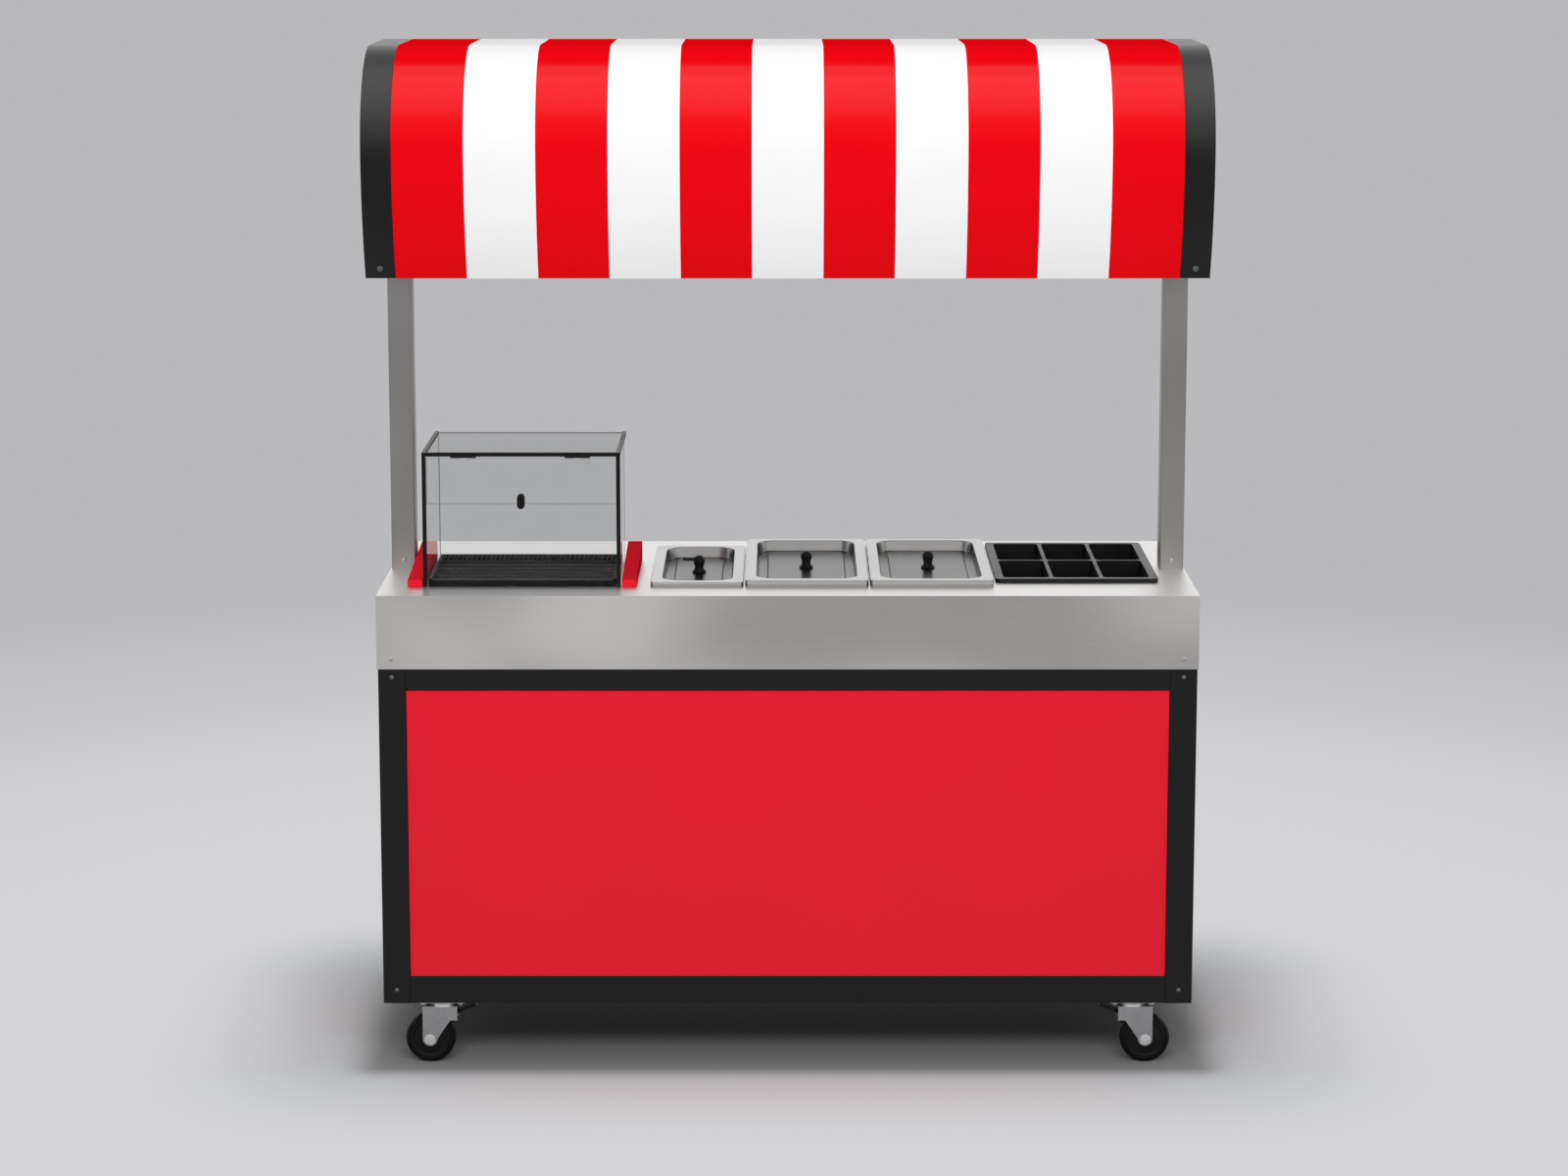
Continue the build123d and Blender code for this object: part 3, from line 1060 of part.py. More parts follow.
with BuildPart() as wire_rack:
    rack_width = CASE_WIDTH - 2 * TRAY_INSIDE
    rack_depth = CRUMB_BACK - CRUMB_FRONT
    pitch_x = (rack_width - RACK_BAR) / RACK_COLUMNS
    pitch_y = (rack_depth - RACK_BAR) / RACK_ROWS
    with BuildSketch(Plane.XY.move(Location((CASE_X, (CRUMB_FRONT + CRUMB_BACK) / 2, RACK_LEVEL)))):
        Rectangle(rack_width, rack_depth)
        with GridLocations(pitch_x, pitch_y, RACK_COLUMNS, RACK_ROWS):
            Rectangle(pitch_x - RACK_BAR, pitch_y - RACK_BAR, mode=Mode.SUBTRACT)
    extrude(amount=RACK_THICKNESS)
save(wire_rack, "wire_rack")

# Black trim of the case, with the fixed halves of the flap hinges and their pins
FLAP_AXIS_Y = FRONT_LINE - FLAP_KNUCKLE_RADIUS - 2 * HINGE_PLAY
FLAP_AXIS_Z = CASE_TOP - CASE_RAIL + FLAP_LEAF_THICKNESS
FLAP_KNUCKLE = FLAP_HINGE_LENGTH / 3
FLAP_HINGES = (CASE_LEFT + FLAP_HINGE_INSET, CASE_RIGHT - FLAP_HINGE_INSET - FLAP_HINGE_LENGTH)
PANE_FRONT = FRONT_LINE + PANE_SETBACK
RAIL_UNDERSIDE = CASE_TOP - CASE_RAIL
FLAP_TOP = RAIL_UNDERSIDE - FLAP_TOP_GAP
FLAP_BOTTOM = COUNTER_TOP + FLAP_SPLIT + FLAP_GAP / 2
with BuildPart() as case_frame:
    for near, far in ((CASE_LEFT, 1), (CASE_RIGHT, -1)):
        block(near, near + far * CASE_POST, FRONT_LINE, FRONT_LINE + CASE_POST, COUNTER_TOP, CASE_TOP)
        block(near, near + far * CASE_RAIL, FRONT_LINE + CASE_POST, CASE_BACK, RAIL_UNDERSIDE, CASE_TOP)
    block(
        CASE_LEFT + CASE_POST, CASE_RIGHT - CASE_POST, FRONT_LINE, FRONT_LINE + CASE_POST,
        RAIL_UNDERSIDE, CASE_TOP,
    )
    for x in FLAP_HINGES:
        for start in (x, x + 2 * FLAP_KNUCKLE):
            axis = plane_along_x(start, FLAP_AXIS_Y, FLAP_AXIS_Z)
            disc(axis, FLAP_KNUCKLE_RADIUS, FLAP_KNUCKLE)
            block(
                start, start + FLAP_KNUCKLE, FLAP_AXIS_Y, FRONT_LINE,
                FLAP_AXIS_Z, FLAP_AXIS_Z + FLAP_KNUCKLE_RADIUS,
            )
            disc(axis, FLAP_PIN_RADIUS + PIN_CLEARANCE, FLAP_KNUCKLE, mode=Mode.SUBTRACT)
        pin = plane_along_x(x - PIN_CLEARANCE, FLAP_AXIS_Y, FLAP_AXIS_Z)
        disc(pin, FLAP_PIN_RADIUS, FLAP_HINGE_LENGTH + PIN_CLEARANCE)
        disc(pin, FLAP_KNUCKLE_RADIUS, -FLAP_LEAF_THICKNESS)
save(case_frame, "case_frame")

# Fixed panes: two sides, back, top and the lower front
with BuildPart() as case_panes:
    for near, far in ((CASE_LEFT, 1), (CASE_RIGHT, -1)):
        block(
            near + far * (CASE_RAIL - PANE), near + far * CASE_RAIL,
            FRONT_LINE + CASE_POST, CASE_BACK, COUNTER_TOP, RAIL_UNDERSIDE,
        )
    inner_left = CASE_LEFT + CASE_RAIL + PANE_JOINT
    inner_right = CASE_RIGHT - CASE_RAIL - PANE_JOINT
    pane_top = CASE_TOP - PANE_SETBACK
    block(inner_left, inner_right, CASE_BACK - PANE, CASE_BACK, COUNTER_TOP, pane_top - PANE - PANE_JOINT)
    block(inner_left, inner_right, FRONT_LINE + CASE_POST, CASE_BACK, pane_top - PANE, pane_top)
    block(
        CASE_LEFT + CASE_POST, CASE_RIGHT - CASE_POST, PANE_FRONT, PANE_FRONT + PANE,
        COUNTER_TOP, COUNTER_TOP + FLAP_SPLIT - FLAP_GAP / 2,
    )
save(case_panes, "case_panes")

# Upper front flap that swings up and out
with BuildPart() as flap_pane:
    block(
        CASE_LEFT + CASE_POST + FLAP_SIDE_GAP, CASE_RIGHT - CASE_POST - FLAP_SIDE_GAP,
        PANE_FRONT, PANE_FRONT + PANE, FLAP_BOTTOM, FLAP_TOP,
    )
save(flap_pane, "flap_pane")

with BuildPart() as flap_fittings:
    for x in FLAP_HINGES:
        start = x + FLAP_KNUCKLE + HINGE_PLAY
        width = FLAP_KNUCKLE - 2 * HINGE_PLAY
        axis = plane_along_x(start, FLAP_AXIS_Y, FLAP_AXIS_Z)
        disc(axis, FLAP_KNUCKLE_RADIUS, width)
        block(
            start, start + width, FLAP_AXIS_Y - FLAP_LEAF_THICKNESS, FLAP_AXIS_Y + FLAP_LEAF_THICKNESS,
            FLAP_TOP - FLAP_LEAF_THICKNESS, FLAP_AXIS_Z,
        )
        block(
            start, start + width, FLAP_AXIS_Y - FLAP_LEAF_THICKNESS, PANE_FRONT,
            FLAP_TOP - 2 * FLAP_LEAF_THICKNESS, FLAP_TOP,
        )
        block(
            x, x + FLAP_HINGE_LENGTH, PANE_FRONT - FLAP_LEAF_THICKNESS, PANE_FRONT,
            FLAP_TOP - FLAP_LEAF_HEIGHT, FLAP_TOP,
        )
        disc(axis, FLAP_PIN_RADIUS + PIN_CLEARANCE, width, mode=Mode.SUBTRACT)
    knob_z = FLAP_BOTTOM + FLAP_KNOB_LIFT
    with BuildSketch(Plane(origin=(CASE_X, PANE_FRONT, knob_z), x_dir=(1, 0, 0), z_dir=(0, -1, 0))):
        SlotOverall(FLAP_KNOB_HEIGHT, 2 * FLAP_KNOB_RADIUS, rotation=90)
        with Locations((0, -FLAP_KNOB_LIFT - FLAP_KNOB_HEIGHT)):
            Rectangle(4 * FLAP_KNOB_RADIUS, 2 * FLAP_KNOB_HEIGHT, mode=Mode.SUBTRACT)
    extrude(amount=FLAP_KNOB_REACH)
    with BuildSketch(Plane(
        origin=(CASE_X, PANE_FRONT - 2 * HINGE_PLAY, knob_z), x_dir=(1, 0, 0), z_dir=(0, -1, 0),
    )):
        SlotOverall(FLAP_KNOB_HEIGHT, 2 * FLAP_KNOB_RADIUS, rotation=90)
    extrude(amount=FLAP_KNOB_REACH - 2 * HINGE_PLAY)
save(flap_fittings, "flap_fittings")

# Canopy posts, and the spigots, head plates and arms that join them to counter and canopy
with BuildPart() as canopy_posts:
    for side in (-1, 1):
        foot = Plane.XY.move(Location((side * POST_X, 0, COUNTER_TOP)))
        tube(foot, POST_SIZE, POST_SIZE, POST_TOP - COUNTER_TOP, POST_WALL)
    for place in POST_SCREWS:
        screw_hole(place)
save(canopy_posts, "canopy_posts")

with BuildPart() as canopy_brackets:
    for side in (-1, 1):
        foot = Plane.XY.move(Location((side * POST_X, 0, COUNTER_UNDERSIDE)))
        tube(foot, SPIGOT_SIZE, SPIGOT_SIZE, SPIGOT_HEIGHT, SPIGOT_WALL)
    for place in POST_SCREWS:
        screw_hole(place)
    for side in (-1, 1):
        block(
            side * POST_X - HEAD_PLATE_WIDTH / 2, side * POST_X + HEAD_PLATE_WIDTH / 2,
            -HEAD_PLATE_LENGTH / 2, HEAD_PLATE_LENGTH / 2, POST_TOP, POST_TOP + HEAD_PLATE_THICKNESS,
        )
        arm_half = PURLIN_Y + PURLIN_SIZE / 2
        arm = plane_along_y(side * POST_X, -arm_half, ARM_TOP - ARM_SIZE / 2)
        tube(arm, ARM_SIZE, ARM_SIZE, 2 * arm_half)
save(canopy_brackets, "canopy_brackets")

# Canopy: purlins and edge rails along it, hoops across it, striped skin and two end caps
GABLE = CANOPY_END - CANOPY_SKIN
with BuildPart() as canopy_purlins:
    arch_shell(-GABLE, GABLE, CANOPY_INSIDE, CANOPY_INSIDE + EDGE_RAIL_DEPTH)
    block(
        -GABLE, GABLE, -CANOPY_FRONT, CANOPY_FRONT,
        CANOPY_BOTTOM + EDGE_RAIL_HEIGHT, CANOPY_TOP, mode=Mode.SUBTRACT,
    )
    for side in (-1, 1):
        tube(
            plane_along_x(-GABLE, side * PURLIN_Y, PURLIN_TOP - PURLIN_SIZE / 2),
            PURLIN_SIZE, PURLIN_SIZE, 2 * GABLE,
        )
    for place in CANOPY_SCREWS:
        screw_hole(place)
save(canopy_purlins, "canopy_purlins")

with BuildPart() as canopy_hoops:
    for number in range(STRIPE_COUNT + 1):
        seam = number * STRIPE_WIDTH - STRIPES_END
        arch_shell(seam - HOOP_WIDTH / 2, seam + HOOP_WIDTH / 2, CANOPY_SKIN, CANOPY_INSIDE)
save(canopy_hoops, "canopy_hoops")

for colour, first in (("red", 0), ("white", 1)):
    with BuildPart() as stripes:
        for number in range(first, STRIPE_COUNT, 2):
            seam = number * STRIPE_WIDTH - STRIPES_END
            arch_shell(seam, seam + STRIPE_WIDTH, 0, CANOPY_SKIN)
    save(stripes, f"canopy_{colour}_panels")

with BuildPart() as canopy_ends:
    for side in (-1, 1):
        band = plane_along_x(side * STRIPES_END, 0, 0)
        extrude(band * arch(0), amount=side * CANOPY_END_WIDTH)
        extrude(band * arch(CANOPY_SKIN), amount=side * (CANOPY_END_WIDTH - CANOPY_SKIN), mode=Mode.SUBTRACT)
    for place in CANOPY_SCREWS:
        screw_hole(place)
save(canopy_ends, "canopy_ends")

# Casters: top plate with upper race and kingpin, swivelling fork with its axle, wheel, brake
KINGPIN_NUT_TOP = CROWN_UNDERSIDE - RACE_PLAY
with BuildPart() as caster_plates:
    for sx, sy in CORNERS.values():
        under = Plane.XY.move(Location((sx * CASTER_X, sy * CASTER_Y, CASTER_PLATE_UNDERSIDE)))
        with BuildSketch(under):
            RectangleRounded(CASTER_PLATE_LENGTH, CASTER_PLATE_WIDTH, TUBE_RADIUS)
            with GridLocations(CASTER_BOLT_LENGTH, CASTER_BOLT_WIDTH, 2, 2):
                Circle(CASTER_BOLT_RADIUS + SCREW_HOLE_CLEARANCE, mode=Mode.SUBTRACT)
        extrude(amount=CASTER_PLATE_THICKNESS)
        disc(under, RACE_RADIUS, -RACE_HEIGHT)
        disc(under, KINGPIN_RADIUS, KINGPIN_NUT_TOP - KINGPIN_NUT_HEIGHT - CASTER_PLATE_UNDERSIDE)
        nut = under.offset(KINGPIN_NUT_TOP - CASTER_PLATE_UNDERSIDE)
        with BuildSketch(nut):
            RegularPolygon(KINGPIN_NUT_RADIUS, 6)
        extrude(amount=-KINGPIN_NUT_HEIGHT)
save(caster_plates, "caster_plates")

with BuildPart() as caster_bolts:
    for sx, sy in CORNERS.values():
        under = Plane.XY.move(Location((sx * CASTER_X, sy * CASTER_Y, CASTER_PLATE_UNDERSIDE)))
        with BuildSketch(under):
            with GridLocations(CASTER_BOLT_LENGTH, CASTER_BOLT_WIDTH, 2, 2):
                RegularPolygon(CASTER_BOLT_HEAD, 6)
        extrude(amount=-CASTER_BOLT_HEAD_HEIGHT)
        with BuildSketch(under):
            with GridLocations(CASTER_BOLT_LENGTH, CASTER_BOLT_WIDTH, 2, 2):
                Circle(CASTER_BOLT_RADIUS)
        extrude(amount=CASTER_BOLT_SHANK)
save(caster_bolts, "caster_bolts")

FORK_HALF = FORK_GAP / 2
BRAKE_Z = CROWN_UNDERSIDE + CROWN_THICKNESS - BRAKE_PIVOT_DROP
FORK_BACK = RACE_RADIUS + FORK_EAR_INSET
FORK_NOSE = CASTER_TRAIL + FORK_FOOT_RADIUS
FORK_CROWN_TOP = CROWN_UNDERSIDE + CROWN_THICKNESS
for name, (sx, sy) in CORNERS.items():
    centre_x = sx * CASTER_X
    centre_y = sy * CASTER_Y
    axle_x = centre_x + sx * CASTER_TRAIL
    brake_x = centre_x - sx * BRAKE_PIVOT_BACK
    braked = name.startswith("front")

    # Fork plates seen from the side; their own x points outwards along the trail
    with BuildPart() as fork:
        for face in (-1, 1):
            side_plane = Plane(
                origin=(centre_x, centre_y + face * FORK_HALF, 0), x_dir=(sx, 0, 0), z_dir=(0, -sx, 0),
            )
            with BuildSketch(side_plane):
                with BuildLine():
                    Polyline(
                        (FORK_NOSE, FORK_CROWN_TOP), (FORK_NOSE, WHEEL_RADIUS),
                        (CASTER_TRAIL - FORK_FOOT_RADIUS, WHEEL_RADIUS),
                        (-FORK_BACK + FORK_FOOT_RADIUS, FORK_CROWN_TOP - FORK_EAR_DROP),
                        (-FORK_BACK, FORK_CROWN_TOP - FORK_EAR_DROP),
                        (-FORK_BACK, FORK_CROWN_TOP), close=True,
                    )
                make_face()
                with Locations((CASTER_TRAIL, WHEEL_RADIUS)):
                    Circle(FORK_FOOT_RADIUS)
                    Circle(AXLE_RADIUS + PIN_CLEARANCE, mode=Mode.SUBTRACT)
            extrude(amount=-face * sx * FORK_PLATE)
        block(
            centre_x - sx * FORK_BACK, centre_x + sx * FORK_NOSE, centre_y - FORK_HALF, centre_y + FORK_HALF,
            CROWN_UNDERSIDE, FORK_CROWN_TOP,
        )
        crown = Plane.XY.move(Location((centre_x, centre_y, CROWN_UNDERSIDE)))
        disc(crown.offset(CROWN_THICKNESS), RACE_RADIUS, RACE_HEIGHT)
        disc(crown, KINGPIN_RADIUS + PIN_CLEARANCE, CROWN_THICKNESS + RACE_HEIGHT, mode=Mode.SUBTRACT)
        outer = FORK_HALF + FORK_PLATE
        if braked:
            brake_pin = plane_along_y(brake_x, centre_y - outer, BRAKE_Z)
            disc(brake_pin, BRAKE_PIN_RADIUS, 2 * outer)
        axle_half = outer + PIN_CLEARANCE
        axle = plane_along_y(axle_x, centre_y - axle_half, WHEEL_RADIUS)
        disc(axle, AXLE_RADIUS, 2 * axle_half)
        for start, direction in ((axle, -1), (axle.offset(2 * axle_half), 1)):
            with BuildSketch(start) as head:
                RegularPolygon(AXLE_HEAD_RADIUS, 6)
            extrude(head.sketch, amount=direction * AXLE_HEAD_HEIGHT)
    save(fork, f"caster_fork_{name}")

    # Wheel core with its moulded tyre, turned about the axle
    with BuildPart() as wheel:
        bore = AXLE_RADIUS + PIN_CLEARANCE
        rim = WHEEL_RADIUS - TYRE_DEPTH
        section = Plane(origin=(axle_x, centre_y, WHEEL_RADIUS), x_dir=(0, 0, 1), z_dir=(1, 0, 0))
        with BuildSketch(section) as profile:
            with Locations((WHEEL_RADIUS - TYRE_DEPTH / 2, 0)):
                Rectangle(TYRE_DEPTH, WHEEL_WIDTH)
            fillet(profile.vertices().group_by(Axis.X)[-1], TYRE_ROUND)
            with Locations((rim - RIM_THICKNESS / 2, 0)):
                Rectangle(RIM_THICKNESS, RIM_WIDTH)
            with Locations(((bore + rim) / 2, 0)):
                Rectangle(rim - bore, WEB_WIDTH)
            with Locations(((bore + HUB_RADIUS) / 2, 0)):
                Rectangle(HUB_RADIUS - bore, FORK_GAP - 2 * HUB_PLAY)
        revolve(axis=Axis((axle_x, centre_y, WHEEL_RADIUS), (0, 1, 0)))
    save(wheel, f"caster_wheel_{name}")

# Brake pedals of the two front casters: a lobe that turns down onto the tyre, an arm and a pad
for name in ("front_left", "front_right"):
    sx, sy = CORNERS[name]
    side_plane = Plane(
        origin=(sx * (CASTER_X - BRAKE_PIVOT_BACK), sy * CASTER_Y, BRAKE_Z),
        x_dir=(sx, 0, 0), z_dir=(0, -sx, 0),
    )
    lobe_length = BRAKE_LOBE_REACH - BRAKE_LOBE_RADIUS
    with BuildPart() as pedal:
        with BuildSketch(side_plane):
            Circle(BRAKE_HUB_RADIUS)
            with Locations(Rotation(0, 0, BRAKE_LOBE_ANGLE)):
                with Locations((lobe_length / 2, 0)):
                    SlotCenterToCenter(lobe_length, 2 * BRAKE_LOBE_RADIUS)
        extrude(amount=FORK_GAP / 2 - BRAKE_SIDE_PLAY, both=True)
        with BuildSketch(side_plane):
            with Locations(Rotation(0, 0, 180 - BRAKE_ARM_ANGLE)):
                with Locations((BRAKE_ARM_LENGTH / 2, 0)):
                    Rectangle(BRAKE_ARM_LENGTH, BRAKE_ARM_THICKNESS)
        extrude(amount=BRAKE_ARM_WIDTH / 2, both=True)
        with BuildSketch(side_plane):
            with Locations(Rotation(0, 0, 180 - BRAKE_ARM_ANGLE)):
                with Locations((BRAKE_ARM_LENGTH, 0)):
                    Rectangle(BRAKE_PAD_LENGTH, BRAKE_PAD_THICKNESS)
        extrude(amount=BRAKE_PAD_WIDTH / 2, both=True)
        with BuildSketch(side_plane):
            Circle(BRAKE_PIN_RADIUS + PIN_CLEARANCE)
        extrude(amount=FORK_GAP, both=True, mode=Mode.SUBTRACT)
    save(pedal, f"brake_pedal_{name}")

# All the pan head screws that show
with BuildPart() as panel_screws:
    for place in FRAME_SCREWS + APRON_SCREWS + POST_SCREWS + CANOPY_SCREWS:
        screw(place)
save(panel_screws, "panel_screws")
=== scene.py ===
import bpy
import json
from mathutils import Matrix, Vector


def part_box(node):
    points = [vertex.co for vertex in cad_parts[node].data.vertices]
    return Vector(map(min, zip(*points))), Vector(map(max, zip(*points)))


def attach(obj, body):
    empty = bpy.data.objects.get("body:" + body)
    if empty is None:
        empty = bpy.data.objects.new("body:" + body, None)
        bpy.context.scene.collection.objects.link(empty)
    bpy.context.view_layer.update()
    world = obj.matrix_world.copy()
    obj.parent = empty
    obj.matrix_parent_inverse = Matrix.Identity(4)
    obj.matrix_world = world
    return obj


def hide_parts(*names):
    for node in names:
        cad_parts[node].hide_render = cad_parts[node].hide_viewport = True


bl_info = {
    "name": "Hot dog cart",
    "version": (1, 0, 0),
    "blender": (4, 5, 0),
    "location": "View3D > Sidebar > Cart",
    "description": "Dresses the hot dog cart's frame with finished pieces and sets up a plain studio",
    "category": "Object",
}

import json
from math import asin, cos, pi, radians, sin, tan

import bmesh
import bpy
from bpy.props import FloatProperty, FloatVectorProperty, IntProperty, PointerProperty
from mathutils import Matrix, Vector

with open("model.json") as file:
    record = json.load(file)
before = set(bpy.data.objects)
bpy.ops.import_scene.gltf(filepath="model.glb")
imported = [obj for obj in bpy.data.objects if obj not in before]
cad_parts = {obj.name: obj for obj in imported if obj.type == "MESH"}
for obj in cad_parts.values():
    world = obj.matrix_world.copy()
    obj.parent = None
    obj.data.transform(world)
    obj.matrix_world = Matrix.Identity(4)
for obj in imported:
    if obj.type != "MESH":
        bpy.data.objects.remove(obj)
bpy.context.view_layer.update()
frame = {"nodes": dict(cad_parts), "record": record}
NODE_BODY = {
    node: body for body, nodes in frame["record"]["behaviour"]["bodies"].items() for node in nodes
}
CORNERS = ("front_left", "front_right", "rear_left", "rear_right")
PANS = ("left", "middle", "right")

# Vertices closer than MERGE join, faces within FLAT become one, and edges over SHARP count as hard.
# A face looks along an axis where its normal has more than FACING of it, and counts as level over LEVEL.
MERGE = 1e-5
FLAT = radians(0.8)
SHARP = radians(34)
FACING = 0.9
LEVEL = 0.5
DOWN = Vector((0, 0, -1))
ALONG_X, ALONG_Y, ALONG_Z = 0, 1, 2

STRIPES = 11
PAN_TAPER, LID_TAPER, BOSS_TAPER = radians(3), radians(10), radians(40)
WALL_CORNER, VALLEY_CORNER, BOSS_CORNER = 0.9, 0.6, 0.55
TAB_HEIGHT = 0.70
SCREW_HEAD = 2.2 / 12.2
WHEEL_CORE = 0.79

# Depths under the canopy's crown at which a change of its finish starts and ends; the caps' lighter crown
# is a painted sheen of the overhead light
SHOULDER_GLOSS, CROWN_DULL, CAP_SHEEN = (0.17, 0.09), (0.025, 0.045), (0.22, 0.05)

# Turned outlines, as shares of the radius and of the height or half width
KNOB_LINE = (
    (0, 0), (1, 0), (1, 0.10), (0.80, 0.16), (0.66, 0.24), (0.62, 0.34), (0.72, 0.48), (0.80, 0.60),
    (0.80, 0.76), (0.64, 0.91), (0.34, 0.985), (0, 1),
)
WHEEL_SIDE = (
    (0.12, 1), (0.26, 1), (0.30, 0.82), (0.66, 0.78), (0.70, 0.90), (0.78, 0.94), (0.80, 0.86),
    (0.83, 0.86), (0.85, 0.92), (0.94, 0.80), (0.985, 0.55), (1, 0.28),
)
SCREW_LINE = ((0, 0), (1, 0), (1, 0.5), (0.86, 0.82), (0.58, 1), (0.46, 1), (0.42, 0.4), (0, 0.4))

# Studio: where each lamp hangs, and where each change of tone starts and ends
OVERHEAD_SHARES = (0.5, 0.3, 0.2)
OVERHEAD_FIRST, OVERHEAD_STEP, OVERHEAD_HEIGHT = -0.05, -1.25, 4.4
OVERHEAD_SIZE = (4.6, 1.2)
FRONT_PLACE, FRONT_TURN, FRONT_SIZE = (0, -4.8, 3.5), (radians(60), 0, 0), (5.0, 1.6)
FLOOR_RADIUS, FLOOR_SEGMENTS = 60.0, 128
SENSOR_WIDTH = 36.0
PAPER_FADE = (1.9, 5.5)
CART_EDGE = (0.0, 0.12)
SHADOW_FADE = (0.0, 0.52)
COOL_SHARES = (0.5, 1.0)
BEHIND = (-0.1, 0.1)
HORIZON = (0.03, 0.09)
CEILING_EDGE = (0.55, 0.80)
SKY_RISE, SKY_SHARES = (0.0, 0.9), (0.25, 1.7)


def length(name, description, default):
    """A size that a user would change, in metres."""
    return FloatProperty(name=name, description=description, default=default, min=0.0, unit="LENGTH")


def colour(name, description, default):
    """A colour that a user would change, in linear light."""
    return FloatVectorProperty(
        name=name, description=description, default=default, size=3, min=0.0, max=1.0, subtype="COLOR",
    )


def level(name, description, default):
    """A plain number that a user would change."""
    return FloatProperty(name=name, description=description, default=default, min=0.0)


class CartSizes(bpy.types.PropertyGroup):
    """Sizes of the finished pieces that the frame doesn't give."""

    sheet_edge: length("Sheet edge", "Rounding along the edges of thin sheet and glass", 0.0004)
    metal_edge: length("Metal edge", "Rounding along the edges of bent and cut metal", 0.0007)
    plastic_edge: length("Plastic edge", "Rounding along the edges of moulded plastic", 0.0014)
    vault_shoulder: length("Vault shoulder", "Radius of the canopy's shoulders", 0.205)
    vault_tuck: length("Vault tuck", "How far the canopy's skirt draws in at its foot", 0.062)
    vault_sheet: length("Vault sheet", "Thickness of the canopy's sheets", 0.003)
    counter_sheet: length("Counter sheet", "Thickness of the counter's sheet", 0.002)
    counter_edge: length("Counter edge", "Radius of the counter's folded edge", 0.004)
    pan_inset: length("Pan inset", "How far a pan's cut-out lies inside its rim", 0.006)
    tray_inset: length("Tray inset", "How far the tray's cut-out lies inside its rim", 0.012)
    pan_sheet: length("Pan sheet", "Thickness of the pans", 0.001)
    pan_flange: length("Pan flange", "Width of a pan's rim", 0.014)
    pan_bend: length("Pan bend", "Radius of the bends in a pan", 0.0012)
    pan_corner: length("Pan corner", "Corner radius of a pan's wall", 0.024)
    rim_corner: length("Rim corner", "Corner radius of a pan's and a lid's rim", 0.012)
    lid_sheet: length("Lid sheet", "Thickness of the lids", 0.0012)
    lid_flange: length("Lid flange", "Width of a lid's rim", 0.022)
    lid_bend: length("Lid bend", "Radius of the bends in a lid", 0.0016)
    lid_corner: length("Lid corner", "Corner radius of a lid's recess", 0.040)
    lid_valley: length("Lid valley", "Width of the valley round a lid's raised middle", 0.018)
    lid_boss: length("Lid boss", "Height of a lid's raised middle", 0.003)
    lid_tab: length("Lid tab", "Thickness of the tab on the small lid's knob", 0.005)
    rack_pitch: length("Rack pitch", "Distance between the bun rack's long wires", 0.0098)
    rack_cross: length("Rack cross", "Distance between the bun rack's cross wires", 0.040)
    rack_wire: length("Rack wire", "Thickness of the bun rack's wires", 0.0018)
    # Painted shadow: the paper darkens under the cart, fading out over CART_EDGE
    axle_nut: length("Axle nut", "Height of the nuts on the caster axles", 0.0045)
    # Painted cool tint in front and at the sides, to cancel the red panel's bounce light
    axle_washer: length("Axle washer", "Radius of the washers under those nuts", 0.0115)
    axle_hole: length("Axle hole", "Radius of the holes in those washers", 0.0055)
    spin_steps: IntProperty(name="Spin steps", description="Steps of a full turn", default=64, min=12)


